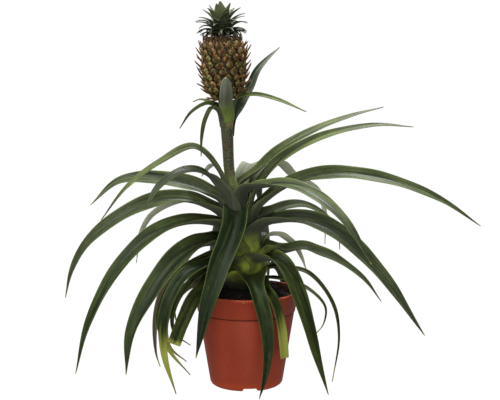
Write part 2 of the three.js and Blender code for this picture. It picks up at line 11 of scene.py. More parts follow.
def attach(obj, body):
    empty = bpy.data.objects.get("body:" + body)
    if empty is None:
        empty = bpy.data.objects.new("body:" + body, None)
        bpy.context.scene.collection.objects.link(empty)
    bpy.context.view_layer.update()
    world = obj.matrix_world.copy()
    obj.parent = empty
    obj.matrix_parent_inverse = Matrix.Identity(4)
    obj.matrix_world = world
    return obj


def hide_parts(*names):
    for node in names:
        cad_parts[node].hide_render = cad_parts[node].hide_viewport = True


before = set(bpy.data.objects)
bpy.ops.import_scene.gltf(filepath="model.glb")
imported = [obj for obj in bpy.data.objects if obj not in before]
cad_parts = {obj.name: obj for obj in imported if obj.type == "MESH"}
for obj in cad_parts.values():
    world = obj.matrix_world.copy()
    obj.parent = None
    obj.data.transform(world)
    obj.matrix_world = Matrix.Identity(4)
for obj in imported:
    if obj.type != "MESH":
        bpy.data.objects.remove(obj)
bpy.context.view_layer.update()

MM = 0.001

# Driving sizes of the pot
POT_HEIGHT = 107
RIM_RADIUS = 60
LIP_HEIGHT = 3.6
LIP_OVERHANG = 2
COLLAR_HEIGHT = 23
COLLAR_PROUD = 0.9
WALL_THICKNESS = 1.6
WALL_FOOT_RADIUS = 40.2
WALL_SLOPE = 0.161
FOOT_CORNER_RADIUS = 5.5
FOOT_RING_WIDTH = 3
FLOOR_UNDERSIDE = 3
FLOOR_THICKNESS = 2
REST_PAD_RADIUS = 9
NOTCH_BOTTOM_WIDTH = 19
NOTCH_TOP_WIDTH = 13.5
NOTCH_HEIGHT = 4
NOTCH_CENTRE = 4
NOTCH_COUNT = 4
DRAIN_RADIUS = 4
DRAIN_CIRCLE = 22
DRAIN_COUNT = 6

# Driving sizes of the soil and the stem
SOIL_LEVEL = 100
SOIL_HEAP = 12
HEAP_INSIDE = 24.5
HEAP_FLANK = (50, 29)
SOIL_RINGS = 26
# How far apart the soil's clods, crumbs and grit lie, and how high they stand
SOIL_CLODS = (14, 0.9)
SOIL_CRUMBS = (3.4, 1.5)
SOIL_GRIT = (1.6, 0.6)
SOIL_SINK = 0.4
GRAIN_COUNT = 300
GRAIN_RADIUS = (0.45, 1.5)
SOIL_BOTTOM = 5.3
STEM_LEAN = (
    (92, 0), (140, -1.5), (170, -4.5), (200, -10.5), (225, -16.8), (246, -19.4), (285, -21.2), (319, -22.5),
)
STEM_GIRTH = (
    (92, 15), (100, 16), (118, 18), (140, 18), (165, 16.5), (190, 14), (208, 10.5),
    (222, 7.6), (236, 6), (256, 6), (273, 6.4), (290, 7.1), (306, 7.5), (319, 8.6),
)
# The leaf bases packed round the stem: how proud they are, how many go round, how they wind up it in radians
# per millimetre, and the heights over which they thin out to the bare stalk
SHEATH_RELIEF = 0.35
SHEATH_COUNT = 5
SHEATH_TWIST = 0.09
BASES_END = (190, 240)
BASE_RIDGES = 2.5
RIDGE_TWIST = 0.16
RIDGE_ROUNDING = 0.6
RIDGE_HEIGHT = 0.5
RIDGE_SINK = 0.9
MEAL_HEIGHT = 0.22
STALK_TOP = 319
GAP = 0.3

# Driving sizes of the fruit and its crown
FRUIT_HEIGHT = 69
FRUIT_PROFILE = (
    (0, 10.5), (0.06, 15), (0.15, 18.8), (0.28, 21.4), (0.42, 22.8), (0.6, 23.2), (0.8, 22.9),
    (0.92, 21.6), (1, 17),
)
WIDEST_GIRTH = 23.2
EYE_ROWS = 10
EYES_PER_ROW = 13
EYE_TWIST = 0.35
EYE_HALF_WIDTH = 5.3
EYE_HALF_HEIGHT = 5.8
EYE_SWELL = 2.8
EYE_SUNK = 0.7
CORE_INSET = 1.2
LAST_EYES_SUNK = 1.8
LAST_BRACTS_SHORTER = 0.35
# The eye's outline as a power: 1 is a diamond and 2 an oval
EYE_OUTLINE = 1.35
DIMPLE_DEPTH = 0.35
DIMPLE_REACH = 0.35
# A bract's spine, up the fruit and out from it, and half its width over its length
BRACT_SPINE = ((-5, 0), (-3.2, 2.6), (0.2, 5), (3.4, 7), (6.6, 8.6))
BRACT_WIDTHS = ((0, 2.9), (0.3, 2.5), (0.55, 2), (0.8, 1.4), (1, 0.35))
BRACT_THICKNESS = 0.9
CROWN_CORE = ((0, 9.5), (4, 10.5), (12, 8.6), (20, 5), (25, 0.3))
CROWN_BLADE_THICKNESS = 0.6
CROWN_BLADE_STEPS = 24
CROWN_BLADE_CUP = 0.45
TOP_TILT = -3

# The crown's rings of blades, from the lowest to the innermost, with two broad single blades at the front:
# each blade's foot, its lean from upright, how far it curls down over its length, and how light it is
CROWN_FACTS = ("count", "first", "reach", "height", "lean", "length", "width", "curl", "tone")
CROWN_RINGS = (
    (14, 8, 11, 0.6, 35, 17, 8, 115, 0.0),
    (13, 20, 10, 2, 28, 22.5, 9, 108, 0.0),
    (9, -106, 8, 3.6, 22, 27, 10.5, 94, 0.05),
    (8, -64, 6.5, 5, 18, 30, 11, 84, 0.1),
    (1, -104, 8, 3, 12, 21, 15, 60, 0.0),
    (1, -70, 6, 7, 10, 26, 15, 58, 0.0),
    (6, -10, 4.5, 7, 15, 30, 13.5, 45, 0.3),
    (5, -36, 3, 8, 15, 30, 14, 10, 0.5),
    (1, -94, 1.5, 9, 1, 29.5, 16, 12, 0.75),
)

# Driving sizes of the leaf blades
EDGE_THICKNESS = 0.7
MID_THICKNESS = 1.6
TIP_WIDTH = 1.1
# How a blade narrows to its tip, as a power: the higher, the later
TAPER = 2.5
STOUT_TAPER = 6
CUT_TAPER = 0.2
CHANNEL_CENTRE = 0.7
CHANNEL_FOLD = 0.42
CHANNEL_LOST_AT_TIP = 0.4
THINNING_AT_TIP = 0.6
SHEATH_THICKNESS = 0.9
OPENING_LENGTH = 34
OPENING_SHARE = 0.35
BASE_SPREAD = 1.1
BASE_TURN_MOST = 77
STALK_TURN_MOST = 42
BLADE_COLUMNS = 8
BLADE_ROWS = 50
# Above 1, the rows of faces crowd together near the stem, where the section changes most
ROW_CROWDING = 1.2
CREASE_ROUNDING = 0.15
RIPPLE_LENGTH = 9
RIPPLE_HEIGHT = (0.25, 0.6)
# A cut leaf stays greener at its end than one that dried to its tip
CUT_LEAF_AGE = 0.75

# Channel depth over half the blade's chord near the stem, and the share of the blade where it has flattened
CHANNEL_BY_STEM = 0.8
CHANNEL_FLAT_FROM = 0.5

# How far the round channel turns into two flat halves that meet in a crease
CREASE = 0.75

# A leaf's base, the sheath: its length, and how far it stands off the stem at its foot and at its root
WIDE_SHEATH = (28, 0.8, 4.2)
NARROW_SHEATH = (12, 0.4, 1.2)
STALK_SHEATH = (7, 0.4, 1)
STOUT_SHEATH = (5, 1, 1.7)
NARROW_BLADE = 14.5
SHEATH_LOWEST = 101
ROSETTE_TOP = 240


def leaf(name, azimuth, root, width, path, **rest):
    """One leaf: where it leaves the stem, its widest width, and its midrib.

    The midrib is given as reach from the stem's axis and height, and where it sways, a sideways shift."""
    plain = {
        "roll": 0, "cut": False, "stout": False,
        "tint": 0.0, "yellow_from": 0.95, "bloom": 0.0, "finish": "green",
    }
    return {**plain, "name": name, "azimuth": azimuth, "root": root, "width": width, "path": path, **rest}


# The scale coat, bloom, is partly painted light: its high values on the back leaves, and its small ones on
# the upper leaves, lighten them for the light from behind and from above
LEAVES = (
    # Left side, top to bottom
    leaf("leaf_left_1", 190, 219, 13, ((15, 244), (42, 269), (80, 253), (118, 225), (146, 189)),
         roll=-32, tint=0.9, bloom=0.04),
    leaf("leaf_left_2", 165, 194, 22, ((20, 208), (42, 221), (88, 230), (140, 226), (176, 196)),
         roll=-50, tint=0.2, bloom=0.05),
    leaf("leaf_left_3", 214, 204, 22, ((17, 218), (34, 240), (66, 246), (98, 231), (118, 205)),
         roll=-14, tint=-0.4, bloom=0.04),
    leaf("leaf_left_4", 184, 181, 24,
         ((25, 197), (45, 209), (80, 212), (122, 199), (168, 165), (187, 133), (195, 100)),
         roll=-44, tint=0.2, bloom=0.03),
    leaf("leaf_left_5", 198, 168, 24, ((30, 185), (60, 190), (100, 178), (144, 138), (176, 80), (190, 26)),
         roll=-30, tint=-0.3, bloom=0.01),
    leaf("leaf_left_6", 214, 152, 30, ((28, 165), (56, 168), (88, 152), (122, 117), (145, 78), (151, 32)),
         roll=-26, tint=-0.3, bloom=0.01),
    leaf("leaf_left_7", 227, 133, 18, ((28, 144), (62, 146), (101, 134), (124, 100), (125, 58), (108, 9)),
         roll=-16, tint=-0.9, yellow_from=0.5),
    leaf("leaf_left_8", 206, 125, 11, ((30, 135), (56, 130), (80, 107), (89, 82), (86, 66), (67, 50)),
         roll=-20, tint=0.4),
    leaf("leaf_left_9", 218, 116, 19, ((30, 122), (54, 117), (71, 106), (87, 81), (98, 59)),
         roll=-34, cut=True, tint=0.6, yellow_from=0.88, finish="old"),
    leaf("leaf_left_10", 170, 128, 13, ((30, 138), (60, 134), (88, 112), (103, 75), (104, 30), (99, 13)),
         roll=-72, yellow_from=0.9, finish="dry"),
    leaf("leaf_left_11", 190, 118, 11, ((35, 122), (70, 110), (90, 75), (86, 45), (67, 27)),
         roll=-62, yellow_from=0.5, finish="dry"),
    leaf("leaf_left_12", 199, 144, 11, ((40, 149), (76, 128), (99, 84), (90, 48), (64, 14)),
         roll=-60, tint=0.2, yellow_from=0.5),
    # Front, over the pot
    leaf("leaf_front_1", 262, 186, 28,
         ((17, 201), (27, 199), (36, 187), (47, 168, -5), (59, 148, -12), (70, 128, -17), (79, 106, -23),
          (93, 51, -33)),
         tint=-1.0),
    leaf("leaf_front_2", -82, 119, 18,
         ((26, 129, 1), (46, 125, 3), (62, 113, 6), (71, 86, 12), (75, 60, 14), (77, 30, 11), (78, 3, 4)),
         tint=-0.8),
    leaf("leaf_front_3", -55, 115, 14,
         ((27, 120, -3), (45, 117, -6), (61, 111, -8), (69, 97, -6), (73, 80, -4), (75, 44, -1)),
         cut=True, tint=0.3, yellow_from=0.34, finish="old"),
    # Right side, top to bottom
    leaf("leaf_right_1", 27, 222, 14, ((15, 229), (33, 243), (58, 262), (107, 284), (156, 298), (199, 306)),
         roll=28, tint=0.9, bloom=0.03),
    leaf("leaf_right_2", 9, 195, 16, ((16, 214), (25, 230), (47, 253), (91, 277), (154, 290), (201, 287)),
         roll=34, tint=0.9, bloom=0.02),
    leaf("leaf_right_3", -36, 210, 23, ((20, 224), (56, 232), (98, 226), (142, 200), (177, 155)),
         roll=18, tint=0.1, bloom=0.03),
    leaf("leaf_right_4", -15, 170, 28, ((32, 188), (65, 192), (106, 178), (155, 135), (205, 67)),
         roll=36, tint=-0.2, bloom=0.03),
    leaf("leaf_right_5", -3, 184, 22, ((22, 205), (56, 230), (107, 240), (167, 232), (223, 210), (266, 181)),
         roll=42, tint=0.2, bloom=0.02),
    leaf("leaf_right_6", 23, 179, 17, ((35, 193), (75, 200), (104, 186), (121, 167), (124, 143)),
         roll=30, tint=-0.4, bloom=0.03),
    leaf("leaf_right_7", 10, 147, 19,
         ((26, 149), (41, 151), (68, 155), (84, 149), (103, 141), (138, 115), (159, 87)),
         roll=34, bloom=0.03),
    leaf("leaf_right_8", -42, 134, 25,
         ((22, 142), (40, 151), (53, 146), (65, 134), (77, 115), (93, 78), (103, 50), (120, 9)),
         roll=8),
    leaf("leaf_right_9", -12, 127, 8, ((33, 134), (70, 130), (98, 98), (106, 60), (99, 6)),
         roll=24, tint=-0.2, yellow_from=0.8),
    leaf("leaf_right_10", -28, 119, 6, ((40, 124), (75, 117), (98, 98), (96, 78), (85, 64)),
         roll=20, tint=0.5, yellow_from=0.7),
    leaf("leaf_right_11", 37, 153, 13, ((32, 166), (51, 165), (63, 158), (72, 151), (82, 137), (91, 118)),
         roll=-24, tint=0.2, finish="backlight_painted"),
    # Back, mostly hidden behind the rest
    leaf("leaf_back_1", 144, 173, 14,
         ((30, 190), (66, 203), (104, 195), (130, 181), (142, 168), (150, 153), (156, 120)),
         roll=26, finish="backlight_painted"),
    leaf("leaf_back_2", 126, 209, 15, ((14, 230), (32, 243), (46, 243), (67, 228)),
         roll=14, bloom=0.9, finish="backlight_painted"),
    # Painted light: this leaf is drawn pale grey for its sheen in the light from behind
    leaf("leaf_back_3", 84, 206, 20,
         ((14, 221, -2), (28, 239, -8), (46, 246, -12), (82, 220, -16), (106, 180, -18)),
         finish="grey"),
    leaf("leaf_back_4", 48, 205, 15,
         ((20, 217), (35, 232), (56, 242), (77, 243), (98, 228), (145, 204), (159, 174), (159, 138)),
         roll=-20, finish="backlight_painted"),
    leaf("leaf_back_5", 97, 199, 16, ((20, 220), (56, 232), (105, 220), (150, 178), (170, 130)),
         bloom=0.4),
    leaf("leaf_back_6", 76, 172, 17, ((28, 187), (65, 190), (100, 165), (124, 120), (130, 85)),
         bloom=0.3),
    leaf("leaf_back_7", 108, 159, 17, ((28, 178), (62, 186), (98, 162), (122, 120), (130, 75)),
         bloom=0.2),
    leaf("leaf_back_8", 86, 144, 17, ((28, 158), (56, 158), (86, 128), (104, 75), (106, 20)),
         tint=0.1),
    leaf("leaf_back_9", 143, 143, 14, ((30, 156), (60, 153), (90, 125), (105, 85), (100, 50))),
    leaf("leaf_back_10", 55, 120, 17, ((28, 128), (48, 130), (70, 117), (86, 84), (92, 40))),
    # The fruit stalk, just below the fruit
    leaf("stalk_leaf_1", -90, 300, 14.5, ((10.5, 306), (15, 314), (23, 322), (30, 333), (34, 345)),
         stout=True, finish="pale"),
    leaf("stalk_leaf_2", 40, 286, 12,
         ((10, 298), (17, 309), (23, 319), (33, 333), (43, 350), (55, 361), (77, 376)),
         roll=40, finish="silver"),
    leaf("stalk_leaf_3", -28, 306, 8, ((12, 319), (20, 324), (37, 326.5), (63, 321.5), (98, 309)),
         roll=34, tint=1.0),
    leaf("stalk_leaf_4", 154, 308, 5, ((13, 314), (24, 318), (33, 319), (42, 316)),
         roll=-30, tint=1.0),
    leaf("stalk_leaf_5", 186, 300, 8, ((12, 311), (20, 316), (38, 307), (52, 288)),
         roll=-30, tint=1.0),
    leaf("stalk_leaf_6", 222, 296, 9, ((12, 307), (21, 312), (31, 299), (36, 280), (37, 259)),
         tint=0.5),
)


# Numbers and places

def smoothstep(value, low, high):
    share = min(max((value - low) / (high - low), 0.0), 1.0)
    return share * share * (3 - 2 * share)


def lerp(start, end, share):
    return start + (end - start) * share


def read_table(table, height):
    """Straight-line reading of (height, value) pairs."""
    if height <= table[0][0]:
        return table[0][1]
    for (low_level, low), (high_level, high) in zip(table, table[1:]):
        if height <= high_level:
            return lerp(low, high, (height - low_level) / (high_level - low_level))
    return table[-1][1]


def ring_point(angle, radius, height=0.0):
    return Vector((radius * math.cos(angle), radius * math.sin(angle), height))


def stem_axis(height):
    return Vector((read_table(STEM_LEAN, height), 0, height))


def stem_radius(height, angle):
    packed = 1 - smoothstep(height, *BASES_END)
    wave = math.cos(SHEATH_COUNT * angle + height * SHEATH_TWIST)
    return read_table(STEM_GIRTH, height) + SHEATH_RELIEF * packed * wave


class Course:
    """A smooth course through points, walked by share of its length."""

    STEPS = 200

    def __init__(self, points):
        self.points = [2 * points[0] - points[1], *points, 2 * points[-1] - points[-2]]
        self.spans = len(points) - 1
        walked = [self.at(step / self.STEPS) for step in range(self.STEPS + 1)]
        self.lengths = [0.0]
        for before, after in zip(walked, walked[1:]):
            self.lengths.append(self.lengths[-1] + (after - before).length)
        self.length = self.lengths[-1]

    def at(self, time):
        span = min(int(time * self.spans), self.spans - 1)
        share = time * self.spans - span
        p0, p1, p2, p3 = self.points[span:span + 4]
        d0, d1, d2 = ((b - a).length_squared ** 0.25 for a, b in ((p0, p1), (p1, p2), (p2, p3)))
        out = ((p1 - p0) / d0 - (p2 - p0) / (d0 + d1) + (p2 - p1) / d1) * d1
        into = ((p2 - p1) / d1 - (p3 - p1) / (d1 + d2) + (p3 - p2) / d2) * d1
        square = share * share
        cube = square * share
        bend = (-3 * p1 + 3 * p2 - 2 * out - into) * square
        turn = (2 * p1 - 2 * p2 + out + into) * cube
        return p1 + out * share + bend + turn

    def time_at(self, place):
        target = place * self.length
        step = next((i for i, length in enumerate(self.lengths) if length >= target), self.STEPS)
        if step == 0:
            return 0.0
        before, after = self.lengths[step - 1], self.lengths[step]
        return (step - 1 + (target - before) / (after - before)) / self.STEPS

    def point(self, place):
        return self.at(self.time_at(min(place, 1.0)))

    def direction(self, place):
        time = self.time_at(min(place, 1.0))
        ahead = self.at(min(time + 0.001, 1.0))
        behind = self.at(max(time - 0.001, 0.0))
        return (ahead - behind).normalized()


# Modelling

def deselect():
    if bpy.context.object and bpy.context.object.mode != "OBJECT":
        bpy.ops.object.mode_set(mode="OBJECT")
    bpy.ops.object.select_all(action="DESELECT")


def select_only(piece):
    deselect()
    bpy.context.view_layer.objects.active = piece
    piece.select_set(True)


def name_active(name):
    piece = bpy.context.object
    piece.name = name
    piece.data.name = name
    return piece


def primitive(name, add, **settings):
    """Adds a primitive while nothing else is selected, and names it."""
    deselect()
    add(**settings)
    return name_active(name)


def apply_modifier(piece, kind, **settings):
    select_only(piece)
    modifier = piece.modifiers.new(kind.title(), kind)
    for name, value in settings.items():
        setattr(modifier, name, value)
    bpy.ops.object.modifier_apply(modifier=modifier.name)


def edit(piece, *steps):
    """Runs edit-mode operators on the whole of a piece, each given as a function."""
    select_only(piece)
    bpy.ops.object.mode_set(mode="EDIT")
    bpy.ops.mesh.select_all(action="SELECT")
    for step in steps:
        step()
    bpy.ops.object.mode_set(mode="OBJECT")


def join(name, pieces):
    deselect()
    for piece in pieces:
        piece.select_set(True)
    bpy.context.view_layer.objects.active = pieces[0]
    if len(pieces) > 1:
        bpy.ops.object.join()
    return name_active(name)


def write_attribute(piece, name, values):
    """Writes a value for each point, or one value for them all."""
    if isinstance(values, float):
        values = [values] * len(piece.data.vertices)
    layer = piece.data.attributes.get(name) or piece.data.attributes.new(name, "FLOAT", "POINT")
    layer.data.foreach_set("value", values)


def smooth(piece, angle=None):
    select_only(piece)
    if angle is None:
        bpy.ops.object.shade_smooth()
    else:
        bpy.ops.object.shade_smooth_by_angle(angle=math.radians(angle))


def apply_place(piece):
    select_only(piece)
    bpy.ops.object.transform_apply(location=True, rotation=True, scale=True)


def copy_at(template, matrix):
    made = template.copy()
    made.data = template.data.copy()
    made.data.transform(matrix)
    bpy.context.scene.collection.objects.link(made)
    return made


def drawn_turn(draw, *ranges):
    """A turn about each axis after the other, drawn from its range in radians."""
    turn = Matrix()
    for axis, low, high in ranges:
        turn = turn @ Matrix.Rotation(draw.uniform(low, high), 4, axis)
    return turn


def finish_piece(piece, node_name, slot_name, *materials):
    """Gives a finished piece its materials, hangs it under the root and hides its imported part. Without
    materials it keeps its own.
    """
    if materials:
        piece.data.materials.clear()
    for material in materials:
        piece.data.materials.append(material)
    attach(piece, "root")
    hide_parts(node_name)


# Materials

# Heights in metres, from where a colour starts to show to where it is full
PAINTED_GLOW_AT_FOOT = (0.013, 0.002)
INSIDE_DARKENING = (0.088, 0.092)
RIM_DUST = (0.09, 0.106)
RIM_CRUMBS = (0.1035, 0.105)
# Painted shade: stem and leaf bases are drawn darker towards the soil, under the leaves
PAINTED_SHADE_NEAR_SOIL = (0.132, 0.116)
# Partly painted light: the lowest leaf bases are drawn brighter between these heights
LOW_BASES_PAINTED_LIGHT = (0.18, 0.152)
BARE_STALK = (0.215, 0.25)
ROSETTE_ROOTS = (0.28, 0.24)
STALK_HEAD = (0.285, 0.296)
FRUIT_TOP = (0.381, 0.389)

# Veins are about 0.5 mm apart on the real leaf, and are drawn this far apart so that they show
VEIN_SPACING = 1.3

# How far apart two leaves lie in the noise, so that no two have the same pattern
PATTERN_SHIFT = 50.0

# What a node has here unless a call says otherwise: its settings, and the output that is read
USUAL_SETTINGS = {"Mix": {"data_type": "RGBA"}, "MapRange": {"interpolation_type": "SMOOTHSTEP"}}
USUAL_OUTPUT = {"Attribute": "Fac", "TexCoord": "Object", "SeparateXYZ": "Z"}


def colour(hex_value):
    """An sRGB hex colour as the linear colour that Blender takes."""
    channels = []
    for start in (1, 3, 5):
        share = int(hex_value[start:start + 2], 16) / 255
        channels.append(share / 12.92 if share <= 0.04045 else ((share + 0.055) / 1.055) ** 2.4)
    return (*channels, 1.0)


def add_node(tree, kind, *values, named=None, **settings):
    """A new node's output. Values, hex colours and sockets fill its inputs in order or by name."""
    made = tree.nodes.new("ShaderNode" + kind)
    for name, value in {**USUAL_SETTINGS.get(kind, {}), **settings}.items():
        setattr(made, name, value)
    inputs = [*zip([socket for socket in made.inputs if socket.enabled], values)]
    inputs.extend((made.inputs[name], value) for name, value in (named or {}).items())
    for socket, value in inputs:
        if isinstance(value, bpy.types.NodeSocket):
            tree.links.new(value, socket)
        else:
            socket.default_value = colour(value) if isinstance(value, str) else value
    if kind in USUAL_OUTPUT:
        return made.outputs[USUAL_OUTPUT[kind]]
    return next((socket for socket in made.outputs if socket.enabled), None)


def new_material(name):
    material = bpy.data.materials.new(name)
    material.use_nodes = True
    material.node_tree.nodes.clear()
    return material, material.node_tree


def finish_material(material, sockets, relief=None, depth=0):
    """Gives a material its shader with sockets set, and a relief as a bump that is depth millimetres deep."""
    tree = material.node_tree
    if relief is not None:
        bump = {"Height": relief, "Distance": depth * MM, "Strength": 1.0}
        sockets["Normal"] = add_node(tree, "Bump", named=bump)
    add_node(tree, "OutputMaterial", add_node(tree, "BsdfPrincipled", named=sockets))
    return material


def painted(tree, body, *coats):
    """Coats of colour over a body: each shows as its value goes from low to high, up to its share."""
    for value, low, high, share, coat in coats:
        shown = add_node(tree, "MapRange", value, low, high, 0.0, share)
        body = add_node(tree, "Mix", shown, body, coat)
    return body


def height_above_floor(tree):
    return add_node(tree, "SeparateXYZ", add_node(tree, "TexCoord"))


def object_noise(tree, size, detail=3.0, roughness=0.5):
    """Noise whose lumps are size millimetres across, on the object's own coordinates."""
    return add_node(tree, "TexNoise", add_node(tree, "TexCoord"), 1 / (size * MM), detail, roughness)


def along_noise(tree, across_size, along_size, detail=2.0):
    """Noise drawn out along the blade: each lump across_size by along_size millimetres."""
    scales = (("breadth", 1 / across_size), ("reach", 1 / along_size), ("draw", PATTERN_SHIFT))
    place = [
        add_node(tree, "Math", add_node(tree, "Attribute", attribute_name=fact), scale, operation="MULTIPLY")
        for fact, scale in scales
    ]
    return add_node(tree, "TexNoise", add_node(tree, "CombineXYZ", *place), 1.0, detail)


def blade_material(name, palette, roughness, sheen, vein_depth):
    """Leaf tissue: colours run along the veins, margins and base differ, and tips yellow."""
    material, tree = new_material(name)
    height = height_above_floor(tree)
    reach, across, tint, age, bloom = (
        add_node(tree, "Attribute", attribute_name=fact)
        for fact in ("reach", "across", "tint", "age", "bloom")
    )
    broad = along_noise(tree, 4.5, 70)
    fine = along_noise(tree, VEIN_SPACING, 45, 3.0)
    warmth = add_node(tree, "MapRange", tint, -1.0, 1.0, interpolation_type="LINEAR")
    dark = add_node(tree, "Mix", warmth, *palette["dark"])
    light = add_node(tree, "Mix", warmth, *palette["light"])
    streak = add_node(tree, "Mix", 0.45, broad, fine, data_type="FLOAT")
    aside = add_node(tree, "Math", across, operation="ABSOLUTE")
    root_share, stalk_root_share, root_colour = palette["root"]
    rooted = add_node(tree, "MapRange", height, *ROSETTE_ROOTS, stalk_root_share, root_share)
    low = add_node(tree, "MapRange", height, *LOW_BASES_PAINTED_LIGHT, 0.0, palette["low"])
    # Partly painted light: the lowest bases near the stem are drawn bright yellow-green, their own colour
    # made brighter to stand for light
    bases_with_painted_light = painted(
        tree, "#9aa83c",
        (object_noise(tree, 20), 0.38, 0.6, 1.0, "#525c2a"), (height, *PAINTED_SHADE_NEAR_SOIL, 1.0, "#262c18"),
    )
    ageing = add_node(tree, "Math", broad, 0.5, age, operation="MULTIPLY_ADD")
    body = painted(
        tree, dark,
        (streak, 0.34, 0.78, 1.0, light),
        (object_noise(tree, 9, 4.0), 0.35, 0.7, 0.35, dark),
        (along_noise(tree, 2.6, 14, 3.0), 0.64, 0.76, 0.22, "#6b6640"),
        (aside, 0.4, 1.0, palette["band"], light),
        (aside, 0.9, 0.99, *palette["margin"]),
        (reach, 30.0, 4.0, rooted, root_colour),
        (reach, 16.0, 0.0, low, bases_with_painted_light),
        (ageing, 0.4, 0.85, 1.0, palette["yellowed"]),
        (ageing, 1.11, 1.25, 1.0, palette["withered"]),
    )
    # Painted shade: one half of the blade and the part near the stem are drawn dark green as shade
    if "bare" in palette:
        half = add_node(tree, "MapRange", across, 0.05, 0.4)
        near_stem = add_node(tree, "MapRange", reach, 46.0, 30.0)
        bare = add_node(tree, "Math", half, near_stem, operation="MAXIMUM")
        body = add_node(tree, "Mix", bare, body, palette["bare"])
    # Scales lighten the blade along its lines; where bloom is high, this coat is painted light
    lines = add_node(tree, "MapRange", fine, 0.3, 0.75, 0.45, 1.0)
    scurf_and_painted_light = add_node(tree, "Math", lines, bloom, operation="MULTIPLY")
    body = add_node(tree, "Mix", scurf_and_painted_light, body, palette["scurf_and_painted_light"])
    satin = add_node(
        tree, "MapRange", fine, 0.25, 0.75, roughness - 0.06, roughness + 0.08, interpolation_type="LINEAR",
    )
    dulled = add_node(tree, "MapRange", broad, 0.35, 0.65, -0.06, 0.14)
    ridges = add_node(tree, "Math", broad, 1.6, operation="MULTIPLY")
    return finish_material(material, {
        "Base Color": body, "Roughness": add_node(tree, "Math", satin, dulled, operation="ADD"),
        "Sheen Weight": sheen, "IOR": 1.45, "Specular IOR Level": 0.1,
    }, add_node(tree, "Math", fine, 0.7, ridges, operation="MULTIPLY_ADD"), vein_depth)


# Each palette gives dark and light tissue, both on a cool and on a warm leaf, the share of light tissue
# towards the sides, the margin's share and colour, the root's share on a rosette leaf and on a stalk leaf and
# its colour, how far the lowest bases are drawn brighter (their own yellow-green, partly painted light),
# and the colours of aged tissue and of the scales (on some leaves the scales also carry painted light)

# Upper side of a bromeliad leaf: a waxy skin over dark tissue, so a soft broad gloss
UPPER_GREEN = {
    "dark": ("#0d130a", "#1a220e"), "light": ("#314120", "#616e33"), "band": 0.15,
    "margin": (0.25, "#82914a"), "root": (0.5, 0.3, "#2a3018"), "low": 0.3,
    "yellowed": "#9da24a", "withered": "#7d6a3c", "scurf_and_painted_light": "#cfd4c6",
}
# Underside: grey scales in lines along the veins make it silvery and nearly matte
UNDER_SILVER = {
    "dark": ("#31372a", "#3d432e"), "light": ("#636b54", "#788058"), "band": 0.3,
    "margin": (0.3, "#8a965c"), "root": (0.8, 0.1, "#2d3120"), "low": 1.0,
    "yellowed": "#a9ad62", "withered": "#8a7a50", "scurf_and_painted_light": "#d8dcd0",
}
# Drying leaf: the green has gone and the tissue is dull purplish brown
DRY_UPPER = {
    "dark": ("#443a35", "#4a4233"), "light": ("#7f7565", "#7f7752"), "band": 0.3,
    "margin": (0.5, "#a39a80"), "root": (0.6, 0.3, "#3c3a22"), "low": 0.3,
    "yellowed": "#a3994e", "withered": "#8c7452", "scurf_and_painted_light": "#b7bdad",
}
# Bleached leaf on the stalk's upright leaf, silvery grey above a green base; on one leaf at the back the same
# colours are painted light, for its sheen in the light from behind
PALE_OUTER = {
    "dark": ("#4b5140", "#4b5140"), "light": ("#7f8271", "#7f8271"), "band": 0.5,
    "margin": (0.5, "#9aa38c"), "root": (1.0, 1.0, "#6d7d3b"), "low": 0.0,
    "yellowed": "#a4ad95", "withered": "#8f8f78", "scurf_and_painted_light": "#cdd1c6",
}
# Underside of a back leaf: its pale scales, plus painted light for the light shining through it from behind,
# make it nearly white, with a green cast on warm leaves
BACKLIGHT_PAINTED_PALETTE = {
    "dark": ("#b4bba8", "#b4be8e"), "light": ("#e4e8dd", "#dce4b8"), "band": 0.3,
    "margin": (0.4, "#c0ca98"), "root": (0.7, 0.3, "#56622e"), "low": 0.0,
    "yellowed": "#b3b86c", "withered": "#a39a6a", "scurf_and_painted_light": "#dde1d6",
}
# A silvery leaf with painted shade: one half and the part near the stem are painted dark green as shade
SILVER_AND_PAINTED_SHADE = {
    **UNDER_SILVER, "dark": ("#4b5244", "#4b5244"), "light": ("#8e9588", "#8e9588"), "bare": "#313d24",
}

leaf_upper = blade_material("waxy_leaf_upper_side", UPPER_GREEN, 0.4, 0.0, 0.2)
leaf_under = blade_material("scurfy_leaf_underside", UNDER_SILVER, 0.6, 0.1, 0.16)
dry_upper = blade_material("drying_leaf_upper_side", DRY_UPPER, 0.62, 0.05, 0.2)
silver_and_painted_shade_leaf = blade_material("silvered_leaf_with_painted_shade", SILVER_AND_PAINTED_SHADE, 0.55, 0.1, 0.16)
pale_outer = blade_material("bleached_stalk_leaf", PALE_OUTER, 0.6, 0.1, 0.2)
backlight_painted_leaf = blade_material("back_leaf_backlight_painted", BACKLIGHT_PAINTED_PALETTE, 0.55, 0.1, 0.14)

# A leaf's finish: its upper side, its underside and its slot
FINISHES = {
    "green": (leaf_upper, leaf_under, "leaf"),
    "old": (leaf_upper, leaf_under, "old_leaf"),
    "dry": (dry_upper, dry_upper, "old_leaf"),
    "pale": (leaf_upper, pale_outer, "pale_leaf"),
    "silver": (silver_and_painted_shade_leaf, leaf_upper, "leaf"),
    "backlight_painted": (leaf_upper, backlight_painted_leaf, "leaf"),
    # Painted light on a back leaf: pale grey on both sides for its sheen in the light from behind
    "grey": (pale_outer, pale_outer, "leaf"),
}


